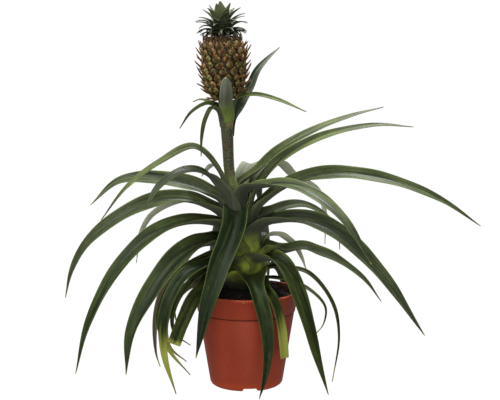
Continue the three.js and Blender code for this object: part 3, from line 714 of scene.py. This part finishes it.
def pot_material():
    """Terracotta-coloured polypropylene, injection moulded: a fine satin skin with faint flow marks."""
    material, tree = new_material("terracotta_polypropylene")
    height = height_above_floor(tree)
    flow = add_node(tree, "MapRange", object_noise(tree, 38, 3.0, 0.6), 0.3, 0.7)
    grain = object_noise(tree, 1.2, 2.0)
    # Painted shadow: a dark line under the collar step, where the collar's shadow falls
    collar_shadow_line = (POT_HEIGHT - COLLAR_HEIGHT - 0.2) * MM
    from_collar_shadow = add_node(tree, "Math", height, collar_shadow_line, operation="SUBTRACT")
    from_collar_shadow = add_node(tree, "Math", from_collar_shadow, operation="ABSOLUTE")
    level = add_node(tree, "VectorMath", add_node(tree, "TexCoord"), (1, 1, 0), operation="MULTIPLY")
    radius = add_node(tree, "VectorMath", level, operation="LENGTH")
    outer = add_node(tree, "Math", height, WALL_SLOPE, WALL_FOOT_RADIUS * MM, operation="MULTIPLY_ADD")
    inset = add_node(tree, "Math", radius, outer, operation="SUBTRACT")
    dust_share, crumb_share, inside_dark_share = (
        add_node(tree, "MapRange", height, *heights, 0.0, most)
        for heights, most in ((RIM_DUST, 0.35), (RIM_CRUMBS, 1.0), (INSIDE_DARKENING, 0.85))
    )
    crumb = painted(tree, "#c9a24a", (flow, 0.4, 0.6, 1.0, "#2a1a14"))
    body = painted(
        tree, add_node(tree, "Mix", flow, "#9a381f", "#a33f25"),
        (grain, 0.45, 0.8, 0.18, "#b4563a"),
        (object_noise(tree, 5, 6.0, 0.7), 0.62, 0.75, dust_share, "#3a2018"),
        (from_collar_shadow, 0.0013, 0.0004, 0.75, "#4a1a10"),
        # Painted light: the foot is drawn a glowing orange, for light shining through the thin plastic
        (height, *PAINTED_GLOW_AT_FOOT, 0.6, "#c04a20"),
        (object_noise(tree, 2.2, 1.0), 0.66, 0.72, crumb_share, crumb),
        # The inside of the wall is drawn near-black from about 90 mm up to the rim
        (inset, -0.0004, -0.0008, inside_dark_share, "#2a1712"),
    )
    satin = add_node(tree, "MapRange", grain, 0.3, 0.7, 0.42, 0.52, interpolation_type="LINEAR")
    return finish_material(material, {
        "Base Color": body, "Roughness": satin, "IOR": 1.49, "Specular IOR Level": 0.3,
    }, grain, 0.05)


def soil_material():
    """Damp peat: near-black crumbs, with reddish fibres among them."""
    material, tree = new_material("damp_peat")
    lumps = object_noise(tree, 3, 5.0, 0.65)
    fibres = object_noise(tree, 1.1, 4.0, 0.7)
    body = painted(tree, "#0c0b0a", (lumps, 0.35, 0.68, 1.0, "#26201b"), (fibres, 0.6, 0.74, 0.7, "#4a352a"))
    return finish_material(material, {"Base Color": body, "Roughness": 0.95, "IOR": 1.33}, lumps, 0.6)


def stem_material():
    """Fleshy stalk: olive skin under mealy scales, yellow-green where the leaf bases wrap it."""
    material, tree = new_material("mealy_stalk")
    height = height_above_floor(tree)
    stalk = add_node(tree, "MapRange", height, *BARE_STALK)
    rust_share = add_node(tree, "MapRange", height, *BARE_STALK, 0.0, 0.75)
    blotch = object_noise(tree, 14, 4.0, 0.6)
    upper = painted(tree, "#3c4223", (blotch, 0.4, 0.66, 1.0, "#302918"))
    lower = painted(tree, "#6f7a2c", (blotch, 0.4, 0.66, 1.0, "#3e4322"))
    # Painted shade: the stem is drawn darker towards the soil, under the leaves
    lower = painted(tree, lower, (height, *PAINTED_SHADE_NEAR_SOIL, 1.0, "#262c18"))
    mealy = add_node(tree, "MapRange", object_noise(tree, 1.6, 2.0), 0.5, 0.62, 0.0, 0.5)
    body = painted(
        tree, add_node(tree, "Mix", mealy, add_node(tree, "Mix", stalk, lower, upper), "#72765a"),
        (height, *STALK_HEAD, 0.75, "#8b8450"),
        (object_noise(tree, 7, 5.0, 0.7), 0.54, 0.66, rust_share, "#5c4424"),
    )
    return finish_material(material, {
        "Base Color": body, "Roughness": 0.6, "Sheen Weight": 0.1, "IOR": 1.42,
    }, mealy, 0.25)


def painted_shade_under_crown(tree):
    """The coat of painted shade on the fruit's top, round the crown's foot, where the crown's blades hang
    over it.
    """
    return height_above_floor(tree), *FRUIT_TOP, 0.75, "#2a2012"


def fruit_flesh_material():
    """Fruit eyes: hard waxy skin, tan and olive in flecks, orange-brown where it ripens, dark in the gaps."""
    material, tree = new_material("pineapple_eye_skin")
    crest, ripe = (add_node(tree, "Attribute", attribute_name=fact) for fact in ("crest", "ripe"))
    fleck = object_noise(tree, 2.6, 4.0, 0.65)
    ripeness = add_node(tree, "Math", ripe, 0.3, object_noise(tree, 5.5, 2.0), operation="MULTIPLY_ADD")
    olive = painted(tree, "#3d3a17", (fleck, 0.4, 0.62, 1.0, "#8b8446"))
    orange = painted(tree, "#49301a", (fleck, 0.4, 0.62, 1.0, "#a67c4b"))
    body = painted(
        tree, olive,
        (ripeness, 0.57, 0.78, 1.0, orange), (crest, 0.7, 0.15, 0.9, "#22170b"), painted_shade_under_crown(tree),
    )
    return finish_material(material, {
        "Base Color": body, "Roughness": 0.5, "IOR": 1.45, "Specular IOR Level": 0.3,
    }, fleck, 0.5)


def bract_material():
    """Fruit bracts: papery and dry, dark maroon at the foot, rust above, tips bleached or blackened."""
    material, tree = new_material("papery_bract")
    along = add_node(tree, "Attribute", attribute_name="along")
    fleck = object_noise(tree, 1.6, 3.0)
    patch = object_noise(tree, 6, 1.0)
    rust = painted(tree, "#40220f", (fleck, 0.38, 0.62, 1.0, "#724526"))
    olive = painted(tree, "#38321a", (fleck, 0.38, 0.62, 1.0, "#74693c"))
    ends = painted(tree, "#24150d", (patch, 0.46, 0.54, 1.0, "#9a7049"))
    body = painted(
        tree, rust,
        (patch, 0.56, 0.44, 1.0, olive), (along, 0.3, 0.0, 0.7, "#2b180e"), (along, 0.62, 1.0, 0.85, ends),
        painted_shade_under_crown(tree),
    )
    return finish_material(material, {
        "Base Color": body, "Roughness": 0.7, "IOR": 1.45, "Specular IOR Level": 0.3,
    })


def crown_material():
    """Crown leaves: stiff olive-green blades with fine greyed tips, drawn blackish at the foot as painted
    shade inside the crown.
    """
    material, tree = new_material("crown_leaf")
    along, tone = (add_node(tree, "Attribute", attribute_name=fact) for fact in ("along", "ripe"))
    fleck = object_noise(tree, 2.4, 3.0)
    body = painted(
        tree, add_node(tree, "Mix", tone, "#20291a", "#7a8257"),
        (fleck, 0.4, 0.7, 0.35, "#7d8660"),
        # Painted shade: the blades are drawn blackish towards their foot, deep in the crown
        (along, 0.4, 0.05, 0.9, "#171c13"), (along, 0.7, 1.0, 0.6, "#54574a"),
    )
    return finish_material(material, {
        "Base Color": body, "Roughness": 0.5, "IOR": 1.45, "Specular IOR Level": 0.3,
    }, fleck, 0.15)


# Pot: turned from its own profile, then notched and drilled

def wall_radius(height):
    return WALL_FOOT_RADIUS + WALL_SLOPE * height


def pot_profile():
    collar_base = POT_HEIGHT - COLLAR_HEIGHT
    corner_centre = wall_radius(FOOT_CORNER_RADIUS) - FOOT_CORNER_RADIUS
    corner = []
    for turn in (0, 22.5, 45, 67.5, 90):
        angle = math.radians(turn)
        corner.append((
            corner_centre + FOOT_CORNER_RADIUS * math.sin(angle),
            FOOT_CORNER_RADIUS - FOOT_CORNER_RADIUS * math.cos(angle),
        ))
    inner_floor = FLOOR_UNDERSIDE + FLOOR_THICKNESS
    return (
        (REST_PAD_RADIUS, 0),
        (REST_PAD_RADIUS, FLOOR_UNDERSIDE),
        (corner_centre - FOOT_RING_WIDTH, FLOOR_UNDERSIDE),
        (corner_centre - FOOT_RING_WIDTH, 0),
        *corner,
        # A fine groove under the collar
        (wall_radius(collar_base), collar_base - 1),
        (wall_radius(collar_base) - 0.6, collar_base - 0.4),
        (wall_radius(collar_base) + COLLAR_PROUD, collar_base + 0.1),
        (RIM_RADIUS - LIP_OVERHANG, POT_HEIGHT - LIP_HEIGHT),
        (RIM_RADIUS - 0.4, POT_HEIGHT - LIP_HEIGHT + 0.4),
        (RIM_RADIUS, POT_HEIGHT - 1),
        (RIM_RADIUS - 1, POT_HEIGHT),
        (RIM_RADIUS - LIP_OVERHANG - WALL_THICKNESS, POT_HEIGHT),
        (RIM_RADIUS - LIP_OVERHANG - 2 * WALL_THICKNESS, POT_HEIGHT - LIP_HEIGHT),
        (wall_radius(inner_floor) - WALL_THICKNESS, inner_floor),
    )


def turned(name, profile, sides):
    """A disc on the first (radius, height), drawn up and resized to each of the rest."""
    radius, height = profile[0]
    piece = primitive(
        name, bpy.ops.mesh.primitive_circle_add,
        vertices=sides, radius=radius * MM, fill_type="NGON", location=(0, 0, height * MM),
    )

    def draw_up():
        bpy.ops.mesh.normals_make_consistent(inside=False)
        bpy.ops.mesh.flip_normals()
        for (before, low), (after, high) in zip(profile, profile[1:]):
            bpy.ops.mesh.extrude_region_move(
                TRANSFORM_OT_translate={"value": (0, 0, (high - low) * MM)},
            )
            share = after / before
            bpy.ops.transform.resize(value=(share, share, 1), center_override=(0, 0, high * MM))
        bpy.ops.mesh.select_all(action="SELECT")
        bpy.ops.mesh.normals_make_consistent(inside=False)

    edit(piece, draw_up)
    apply_place(piece)
    return piece


def notch_cutter(turn):
    """A wedge through the foot ring, narrower at its top."""
    inner = WALL_FOOT_RADIUS - FOOT_CORNER_RADIUS - FOOT_RING_WIDTH - 2
    outer = WALL_FOOT_RADIUS + 5
    cutter = primitive(
        "notch_cutter", bpy.ops.mesh.primitive_cube_add,
        size=1, location=(NOTCH_CENTRE * MM, -(inner + outer) / 2 * MM, (NOTCH_HEIGHT - 1) / 2 * MM),
    )
    cutter.scale = (NOTCH_BOTTOM_WIDTH * MM, (outer - inner) * MM, (NOTCH_HEIGHT + 1) * MM)
    apply_place(cutter)
    for vertex in cutter.data.vertices:
        if vertex.co.z > 0:
            aside = math.copysign(NOTCH_TOP_WIDTH / 2, vertex.co.x - NOTCH_CENTRE * MM)
            vertex.co.x = (NOTCH_CENTRE + aside) * MM
    cutter.data.transform(Matrix.Rotation(turn, 4, "Z"))
    return cutter


def drain_cutter(turn):
    cutter = primitive(
        "drain_cutter", bpy.ops.mesh.primitive_cylinder_add, vertices=24, radius=DRAIN_RADIUS * MM,
        depth=12 * MM, location=ring_point(turn, DRAIN_CIRCLE, FLOOR_UNDERSIDE) * MM,
    )
    apply_place(cutter)
    return cutter


def make_pot():
    pot = turned("nursery_pot", pot_profile(), 128)
    cutters = [notch_cutter(math.radians(90 * index)) for index in range(NOTCH_COUNT)]
    for index in range(DRAIN_COUNT):
        cutters.append(drain_cutter((index + 0.5) / DRAIN_COUNT * 2 * math.pi))
    cutter = join("pot_cutters", cutters)
    apply_modifier(pot, "BOOLEAN", object=cutter, operation="DIFFERENCE", solver="EXACT")
    bpy.data.objects.remove(cutter)
    apply_modifier(
        pot, "BEVEL", width=0.35 * MM, segments=2, limit_method="ANGLE", angle_limit=math.radians(32),
        use_clamp_overlap=True,
    )
    smooth(pot, 35)
    finish_piece(pot, "pot", "pot", pot_material())


# Soil: a turned mound whose top is broken into crumbs

def heap(radius):
    """How far the soil is heaped up against the stem, at a radius."""
    return SOIL_HEAP * smoothstep(radius, *HEAP_FLANK)


def lumps(place, size, height):
    """Lumps that lie size apart and stand height high."""
    return noise.noise(place / size) * height


def make_soil():
    draw = random.Random(11)
    inside = wall_radius(SOIL_LEVEL) - WALL_THICKNESS - GAP
    profile = [(wall_radius(SOIL_BOTTOM) - WALL_THICKNESS - GAP, SOIL_BOTTOM), (inside - 1.5, SOIL_LEVEL - 4)]
    for ring in range(SOIL_RINGS):
        radius = lerp(inside - 1.2, HEAP_INSIDE, ring / (SOIL_RINGS - 1))
        profile.append((radius, SOIL_LEVEL - 1.2 + heap(radius)))
    profile.extend([(HEAP_INSIDE - 2, SOIL_LEVEL + 8), (HEAP_INSIDE - 4, SOIL_LEVEL + 1), (12, SOIL_LEVEL)])
    soil = turned("potting_soil", profile, 120)
    for vertex in soil.data.vertices:
        if vertex.co.z < (SOIL_LEVEL - 2) * MM:
            continue
        place = vertex.co / MM
        crumb = abs(lumps(place, *SOIL_CRUMBS)) + lumps(place, *SOIL_GRIT)
        vertex.co.z += (lumps(place, *SOIL_CLODS) + crumb - SOIL_SINK) * MM
    grain = primitive("soil_grain", bpy.ops.mesh.primitive_ico_sphere_add, subdivisions=1, radius=1 * MM)
    pieces = [soil]
    for _ in range(GRAIN_COUNT):
        angle = draw.uniform(0, 2 * math.pi)
        radius = math.sqrt(draw.uniform(HEAP_INSIDE ** 2, (inside - 2) ** 2))
        size = draw.uniform(*GRAIN_RADIUS)
        top = SOIL_LEVEL - SOIL_SINK + heap(radius) + draw.uniform(-0.4, 0.5)
        place = ring_point(angle, radius, top) * MM
        squash = Matrix.Diagonal((size, size * draw.uniform(0.6, 1), size * draw.uniform(0.5, 0.8), 1))
        turn = drawn_turn(draw, ("Z", 0, 6), ("X", -0.6, 0.6))
        pieces.append(copy_at(grain, Matrix.Translation(place) @ turn @ squash))
    bpy.data.objects.remove(grain)
    soil = join("potting_soil", pieces)
    smooth(soil, 50)
    finish_piece(soil, "soil", "soil", soil_material())


# Stem: a grid wrapped round the leaning axis

def shaped_grid(name, columns, rows, place, wrapped=False):
    """A grid whose points go where place(across, along) says, both from 0 to 1."""
    piece = primitive(
        name, bpy.ops.mesh.primitive_grid_add, x_subdivisions=columns, y_subdivisions=rows, size=2,
    )
    for vertex in piece.data.vertices:
        vertex.co = place((vertex.co.x + 1) / 2, (vertex.co.y + 1) / 2) * MM
    if wrapped:
        def close():
            bpy.ops.mesh.remove_doubles(threshold=0.01 * MM)
            bpy.ops.mesh.select_all(action="DESELECT")
            bpy.ops.mesh.select_non_manifold()
            bpy.ops.mesh.edge_face_add()
            bpy.ops.mesh.select_all(action="SELECT")
            bpy.ops.mesh.normals_make_consistent(inside=False)
        edit(piece, close)
    return piece


def make_stem():
    foot = STEM_GIRTH[0][0]

    def place(around, along):
        height = lerp(foot, STALK_TOP, along)
        angle = around * 2 * math.pi
        wrapped_bases = 1 - smoothstep(height, BASES_END[0], BASES_END[1] + 5)
        ridge = RIDGE_HEIGHT * abs(math.sin(BASE_RIDGES * angle + height * RIDGE_TWIST)) ** RIDGE_ROUNDING
        mealy = noise.noise(ring_point(angle, 5, height)) * MEAL_HEIGHT
        radius = stem_radius(height, angle) + wrapped_bases * (ridge - RIDGE_SINK) + mealy
        return stem_axis(height) + ring_point(angle, radius)

    stem = shaped_grid("stem_and_stalk", 64, 150, place, wrapped=True)
    smooth(stem, 60)
    finish_piece(stem, "stem", "stem", stem_material())


# Leaves

def sheath_of(blade):
    if blade["root"] > ROSETTE_TOP:
        return STOUT_SHEATH if blade["stout"] else STALK_SHEATH
    return NARROW_SHEATH if blade["width"] < NARROW_BLADE else WIDE_SHEATH


def midrib(blade):
    """The course of a leaf's middle: up along the stem as its sheath, then out as its blade."""
    turn = math.radians(blade["azimuth"])
    root = blade["root"]
    sheath, foot_clear, root_clear = sheath_of(blade)
    outward = ring_point(turn, 1)
    sideways = Vector((-math.sin(turn), math.cos(turn), 0))
    foot = max(root - sheath, SHEATH_LOWEST)
    points = [stem_axis(foot) + outward * (stem_radius(foot, turn) + foot_clear)]
    points.append(stem_axis(root) + outward * (stem_radius(root, turn) + root_clear))
    for reach, height, *sway in blade["path"]:
        shift = sideways * (sway[0] if sway else 0)
        points.append(Vector((stem_axis(root).x, 0, height)) + outward * reach + shift)
    return Course(points)


def blade_half(blade, place):
    """Half the width of the free blade, which tapers to the tip unless the tip was cut off."""
    half = blade["width"] / 2
    if blade["cut"]:
        return half * (1 - CUT_TAPER * place)
    if blade["stout"]:
        return max(half * math.sqrt(1 - place ** STOUT_TAPER), TIP_WIDTH / 2)
    return max(half * (1 - place ** TAPER), TIP_WIDTH / 2)


def keep_outside(point, clearance):
    if point.z > STALK_TOP:
        return point
    axis = stem_axis(point.z)
    turn = math.atan2(point.y, point.x - axis.x)
    push = stem_radius(point.z, turn) + clearance - math.hypot(point.y, point.x - axis.x)
    return point + ring_point(turn, push) if push > 0 else point


def leaf_section(blade, course, distance):
    """A leaf's cross-section: its middle, its two axes, half its chord, and its depth over that half."""
    sheath = sheath_of(blade)[0]
    turn = math.radians(blade["azimuth"])
    length = course.length - sheath
    reach = distance - sheath
    place = min(max(reach / length, 0), 1)
    centre = course.point(distance / course.length)
    along = course.direction(distance / course.length)
    upper = along.cross(Vector((-math.sin(turn), math.cos(turn), 0))).normalized()
    roll = math.radians(blade["roll"]) * smoothstep(place, 0.02, 0.4)
    upper = Matrix.Rotation(roll, 3, along) @ upper
    side = upper.cross(along).normalized()
    stem_here = stem_radius(centre.z, turn) if centre.z < STALK_TOP else 0
    hug = math.hypot(centre.x - stem_axis(centre.z).x, centre.y)
    narrow_base = blade["root"] > ROSETTE_TOP and not blade["stout"]
    turn_most = math.radians(STALK_TURN_MOST if narrow_base else BASE_TURN_MOST)
    reach_round = min(BASE_SPREAD * blade["width"] / stem_radius(blade["root"], turn), turn_most)
    round_stem = min(hug, stem_here + sheath_of(blade)[2])
    opened = smoothstep(reach, 0, min(OPENING_LENGTH, length * OPENING_SHARE))
    half = lerp(round_stem * math.sin(reach_round), blade_half(blade, place), opened)
    flattened = smoothstep(place, 0.05, CHANNEL_FLAT_FROM)
    channel = lerp(CHANNEL_BY_STEM, CHANNEL_FOLD * (1 - CHANNEL_LOST_AT_TIP * place), flattened)
    depth = lerp(math.tan(reach_round / 2), channel, opened)
    return centre, upper, side, half, depth, opened, place


def creased(column):
    """A vee across the blade, rounded at its bottom."""
    return math.hypot(column, CREASE_ROUNDING) - CREASE_ROUNDING


def make_leaf(blade, order):
    course = midrib(blade)
    sheath = sheath_of(blade)[0]
    draw = random.Random(order)
    phase = draw.uniform(0, 6)
    wave = draw.uniform(*RIPPLE_HEIGHT)
    most_aged = CUT_LEAF_AGE if blade["cut"] else 1
    sections = {}
    facts = {"across": [], "breadth": [], "reach": [], "age": [], "thickness": []}

    def point(share, along_share):
        distance = along_share ** ROW_CROWDING * course.length
        if distance not in sections:
            sections[distance] = leaf_section(blade, course, distance)
        centre, upper, side, half, depth, opened, place = sections[distance]
        column = 1 - 2 * share
        radius = half * (1 + depth ** 2) / (2 * depth)
        angle = column * 2 * math.atan(depth)
        crease = CREASE * opened
        rise = creased(column) / creased(1) * half * depth
        lift = lerp(radius * (1 - math.cos(angle)), rise, crease) - CHANNEL_CENTRE * half * depth * opened
        aside = lerp(radius * math.sin(angle), column * half, crease)
        ripple = wave * abs(column) ** 3 * math.sin(distance / RIPPLE_LENGTH + phase + 1.5 * column)
        ripple *= smoothstep(place, 0.1, 0.3) * min(half / 8, 1)
        thickness = lerp(EDGE_THICKNESS, MID_THICKNESS, (1 - column ** 2) * (1 - THINNING_AT_TIP * place))
        thickness = lerp(SHEATH_THICKNESS, thickness, opened)
        facts["across"].append(column)
        facts["breadth"].append(column * half)
        facts["reach"].append(distance - sheath)
        facts["age"].append(smoothstep(place, blade["yellow_from"], 1.05) * most_aged)
        facts["thickness"].append(thickness / MID_THICKNESS)
        free = centre + side * aside + upper * (lift + ripple)
        return keep_outside(free, thickness / 2)

    piece = shaped_grid("blade_" + blade["name"], BLADE_COLUMNS, BLADE_ROWS, point)
    thickness_group = piece.vertex_groups.new(name="thickness")
    for index, weight in enumerate(facts.pop("thickness")):
        thickness_group.add([index], weight, "REPLACE")
    facts.update(tint=blade["tint"], bloom=blade["bloom"], draw=order + 0.37)
    for name, values in facts.items():
        write_attribute(piece, name, values)
    upper_side, under_side, slot_name = FINISHES[blade["finish"]]
    finish_piece(piece, blade["name"], slot_name, upper_side, under_side)
    apply_modifier(
        piece, "SOLIDIFY", thickness=MID_THICKNESS * MM, offset=0, use_even_offset=True,
        vertex_group="thickness", material_offset=1, material_offset_rim=0,
    )
    piece.vertex_groups.clear()
    apply_modifier(piece, "SUBSURF", levels=1, render_levels=1)
    smooth(piece)


# Fruit: a dark core, an eye on each place of the lattice, and a bract over each eye

def top_place():
    tilt = math.radians(TOP_TILT)
    rise = GAP + read_table(STEM_GIRTH, STALK_TOP) * math.sin(abs(tilt))
    seat = stem_axis(STALK_TOP) + Vector((0, 0, rise))
    return Matrix.Translation(seat * MM) @ Matrix.Rotation(tilt, 4, "Y")


def fruit_girth(share):
    return read_table(FRUIT_PROFILE, share)


def on_fruit(column, row, rise=0.0, lift=0.0):
    share = (row + 0.5) / EYE_ROWS
    turn = (column + EYE_TWIST * row) / (2 * EYES_PER_ROW) * 2 * math.pi
    return ring_point(turn, fruit_girth(share) + rise, share * FRUIT_HEIGHT + lift)


def eye_frame(column, row):
    """An eye's own axes on the fruit: x across it, y up the fruit, z outward."""
    middle = on_fruit(column, row)
    across = (on_fruit(column + 0.5, row) - on_fruit(column - 0.5, row)).normalized()
    up = (on_fruit(column, row + 0.4) - on_fruit(column, row - 0.4)).normalized()
    outward = across.cross(up).normalized()
    up = outward.cross(across).normalized()
    axes = Matrix((across, up, outward)).transposed().to_4x4()
    return Matrix.Translation(middle * MM) @ axes


def eye_template():
    """A flattened ball with a rounded diamond outline and a dimple in its top."""
    eye = primitive(
        "eye_template", bpy.ops.mesh.primitive_uv_sphere_add, segments=12, ring_count=7, radius=1,
    )
    crest = []
    for vertex in eye.data.vertices:
        x, y, z = vertex.co
        reach = math.hypot(x, y)
        angle = math.atan2(y, x)
        spread = abs(math.cos(angle)) ** EYE_OUTLINE + abs(math.sin(angle)) ** EYE_OUTLINE
        outline = spread ** (-1 / EYE_OUTLINE)
        crest.append(max(z, 0) ** 0.7)
        dimple = DIMPLE_DEPTH * math.exp(-(reach / DIMPLE_REACH) ** 2) if z > 0 else 0.0
        rise = z * EYE_SWELL - dimple - EYE_SUNK
        vertex.co = Vector((x * outline * EYE_HALF_WIDTH, y * outline * EYE_HALF_HEIGHT, rise)) * MM
    write_attribute(eye, "crest", crest)
    write_attribute(eye, "along", 0.0)
    return eye


def bract_template():
    """A thorn-like scale that starts below an eye and stands out and up, with a long thin point."""
    course = Course([Vector((0, up, out)) for up, out in BRACT_SPINE])
    along = []

    def place(across_share, along_share):
        column = 2 * across_share - 1
        half = read_table(BRACT_WIDTHS, along_share)
        along.append(along_share)
        return course.point(along_share) + Vector((column * half, 0, -abs(column) ** 1.5 * half * 0.6))

    bract = shaped_grid("bract_template", 4, 8, place)
    write_attribute(bract, "crest", 1.0)
    write_attribute(bract, "along", along)
    apply_modifier(bract, "SOLIDIFY", thickness=BRACT_THICKNESS * MM, offset=-1)
    return bract


def fruit_piece(template, place, ripe, material_index, core):
    """One eye or bract of the fruit, with the core's two materials."""
    made = copy_at(template, place)
    write_attribute(made, "ripe", ripe)
    for material in core.data.materials:
        made.data.materials.append(material)
    for face in made.data.polygons:
        face.material_index = material_index
    return made


def make_fruit():
    draw = random.Random(5)
    eye = eye_template()
    bract = bract_template()

    def core_place(around, along):
        radius = fruit_girth(along) - CORE_INSET
        return ring_point(around * 2 * math.pi, radius, along * FRUIT_HEIGHT)

    core = shaped_grid("pineapple_fruit", 48, 30, core_place, wrapped=True)
    for name in ("crest", "along", "ripe"):
        write_attribute(core, name, 0.0)
    core.data.materials.append(fruit_flesh_material())
    core.data.materials.append(bract_material())
    pieces = [core]
    places = [(column, row) for row in range(EYE_ROWS) for column in range(row % 2, 2 * EYES_PER_ROW, 2)]
    for column, row in places:
        share = (row + 0.5) / EYE_ROWS
        girth = fruit_girth(share) / WIDEST_GIRTH
        ripe = min(max(0.3 + 0.4 * share + draw.uniform(-0.3, 0.3), 0.0), 1.0)
        frame_here = eye_frame(column + draw.uniform(-0.12, 0.12), row + draw.uniform(-0.09, 0.09))
        turn = drawn_turn(draw, ("Z", -0.3, 0.3), ("Y", -0.15, 0.15))
        swell = draw.uniform(0.84, 1.08)
        short = 1 - LAST_BRACTS_SHORTER * smoothstep(row, EYE_ROWS - 3, EYE_ROWS - 1)
        lean = drawn_turn(draw, ("Z", -0.35, 0.35), ("X", -0.2, 0.3))
        length = draw.uniform(0.75, 1.04) * short
        sinking = -LAST_EYES_SUNK * MM * smoothstep(row, EYE_ROWS - 2.5, EYE_ROWS - 1)
        sunk = Matrix.Translation((0, 0, sinking))
        tall = lerp(girth, 1, 0.5)
        eye_fit = sunk @ turn @ Matrix.Diagonal((girth * swell, tall * swell, swell, 1))
        bract_fit = lean @ Matrix.Diagonal((tall * draw.uniform(0.75, 1.15), length, length, 1))
        for template, fit, index in ((eye, eye_fit, 0), (bract, bract_fit, 1)):
            pieces.append(fruit_piece(template, frame_here @ fit, ripe, index, core))
    # A last ring of bracts closes round the crown's foot
    for column in range(0, 2 * EYES_PER_ROW, 2):
        frame_here = eye_frame(column + draw.uniform(-0.3, 0.3), EYE_ROWS - 0.7)
        lean = drawn_turn(draw, ("Z", -0.5, 0.5), ("X", -0.9, -0.4))
        fit = lean @ Matrix.Diagonal((0.8, draw.uniform(0.6, 0.9), draw.uniform(0.5, 0.75), 1))
        pieces.append(fruit_piece(bract, frame_here @ fit, 0.5, 1, core))
    bpy.data.objects.remove(eye)
    bpy.data.objects.remove(bract)
    fruit = join("pineapple_fruit", pieces)
    smooth(fruit, 60)
    fruit.data.transform(top_place())
    finish_piece(fruit, "fruit", "fruit")


# Crown: a short core with rings of blades, the outer ones narrow and curled down

def crown_blade(ring, turn, draw):
    """One blade of the crown: broad at its foot, the low ones drawn out to a thin point."""
    upright = smoothstep(ring["curl"], 80, 20)
    lean = ring["lean"] + draw.uniform(-5, 5) * (1 - 0.8 * upright)
    length = ring["length"] * draw.uniform(0.92, 1)
    curl = ring["curl"] * draw.uniform(0.85, 1.15)
    widths = ((0, 1), (1 / 3, lerp(0.72, 1, upright)), (2 / 3, lerp(0.34, 0.72, upright)), (1, 0.05))
    spot = Vector((ring["reach"], 0, ring["height"]))
    spine = []
    for step in range(CROWN_BLADE_STEPS + 1):
        angle = math.radians(90 - lean - curl * step / CROWN_BLADE_STEPS)
        spine.append((spot.copy(), angle))
        spot += Vector((math.cos(angle), 0, math.sin(angle))) * (length / CROWN_BLADE_STEPS)
    about = Matrix.Rotation(math.radians(turn), 3, "Z")
    along = []

    def place(across_share, along_share):
        column = 2 * across_share - 1
        middle, angle = spine[round(along_share * CROWN_BLADE_STEPS)]
        upper = Vector((-math.sin(angle), 0, math.cos(angle)))
        half = ring["width"] / 2 * read_table(widths, along_share)
        along.append(along_share)
        cup = upper * (abs(column) ** 1.7 * half * CROWN_BLADE_CUP)
        return about @ (middle + Vector((0, -column * half, 0)) + cup)

    blade = shaped_grid("crown_blade", 4, 12, place)
    write_attribute(blade, "along", along)
    tone = ring["tone"] + draw.uniform(-0.1, 0.1)
    write_attribute(blade, "ripe", min(max(tone, 0.0), 1.0))
    apply_modifier(blade, "SOLIDIFY", thickness=CROWN_BLADE_THICKNESS * MM, offset=-1)
    return blade


def make_crown():
    draw = random.Random(23)

    def core_place(around, along):
        height = along * CROWN_CORE[-1][0]
        return ring_point(around * 2 * math.pi, read_table(CROWN_CORE, height), height)

    core = shaped_grid("crown_tuft", 24, 8, core_place, wrapped=True)
    for name in ("along", "ripe"):
        write_attribute(core, name, 0.0)
    blades = []
    for row in CROWN_RINGS:
        ring = dict(zip(CROWN_FACTS, row))
        for order in range(ring["count"]):
            turn = ring["first"] + 360 * order / ring["count"] + draw.uniform(-4, 4)
            blades.append(crown_blade(ring, turn, draw))
    crown = join("crown_tuft", [core, *blades])
    smooth(crown, 50)
    crown.data.transform(top_place() @ Matrix.Translation((0, 0, (FRUIT_HEIGHT + GAP) * MM)))
    finish_piece(crown, "crown", "crown", crown_material())


make_pot()
make_soil()
make_stem()
for leaf_order, leaf_facts in enumerate(LEAVES):
    make_leaf(leaf_facts, leaf_order)
make_fruit()
make_crown()


# Studio: white paper that curves up all round, softboxes, and the photograph's camera

# Just above white, and no brighter, so that the paper doesn't wash out thin tips in front of it
PAPER_GLOW = 1.03
PLANT_MIDDLE = Vector((0, 0, 0.2))
SHELL_PROFILE = (
    (2600, 0), (2800, 60), (2920, 180), (2990, 350), (3000, 500), (3000, 2600), (2400, 3300), (20, 3500),
)


def make_studio():
    shell = turned("studio_shell", SHELL_PROFILE, 64)
    smooth(shell)
    material, tree = new_material("white_studio_paper")
    finish_material(material, {
        "Base Color": "#000000", "Roughness": 1.0, "Specular IOR Level": 0.0,
        "Emission Color": "#ffffff", "Emission Strength": PAPER_GLOW,
    })
    shell.data.materials.append(material)
    # The paper is only the background: the softboxes and the world light the plant
    shell.visible_diffuse = False
    shell.visible_glossy = False
    shell.visible_shadow = False


def add_softbox(name, place, size, power):
    """A rectangular light that faces the middle of the plant."""
    light = bpy.data.lights.new(name, "AREA")
    light.shape = "RECTANGLE"
    light.size, light.size_y = size
    light.energy = power
    lamp = bpy.data.objects.new(name, light)
    lamp.location = place
    lamp.rotation_euler = (PLANT_MIDDLE - Vector(place)).to_track_quat("-Z", "Y").to_euler()
    bpy.context.scene.collection.objects.link(lamp)


make_studio()
add_softbox("key_softbox", (-1.2, -0.6, 1.9), (1.4, 1.2), 50)
add_softbox("top_softbox", (0.4, 0.6, 2.0), (0.9, 0.9), 95)
add_softbox("front_softbox", (0.05, -2.4, 0.5), (2.4, 1.6), 27)

scene = bpy.context.scene
scene.world = bpy.data.worlds.new("white_studio")
scene.world.use_nodes = True
background = scene.world.node_tree.nodes["Background"]
background.inputs["Color"].default_value = (1, 1, 1, 1)
background.inputs["Strength"].default_value = 0.28
scene.view_settings.view_transform = "Standard"
scene.view_settings.look = "None"

CAMERA_PITCH = -7.8
camera_data = bpy.data.cameras.new("studio_camera")
camera_data.lens = 91.7
camera_data.sensor_width = 36
camera_data.sensor_fit = "HORIZONTAL"
camera = bpy.data.objects.new("studio_camera", camera_data)
camera.location = (0.004, -1.4, 0.4)
camera.rotation_euler = (math.radians(90 + CAMERA_PITCH), 0, 0)
scene.collection.objects.link(camera)
scene.camera = camera
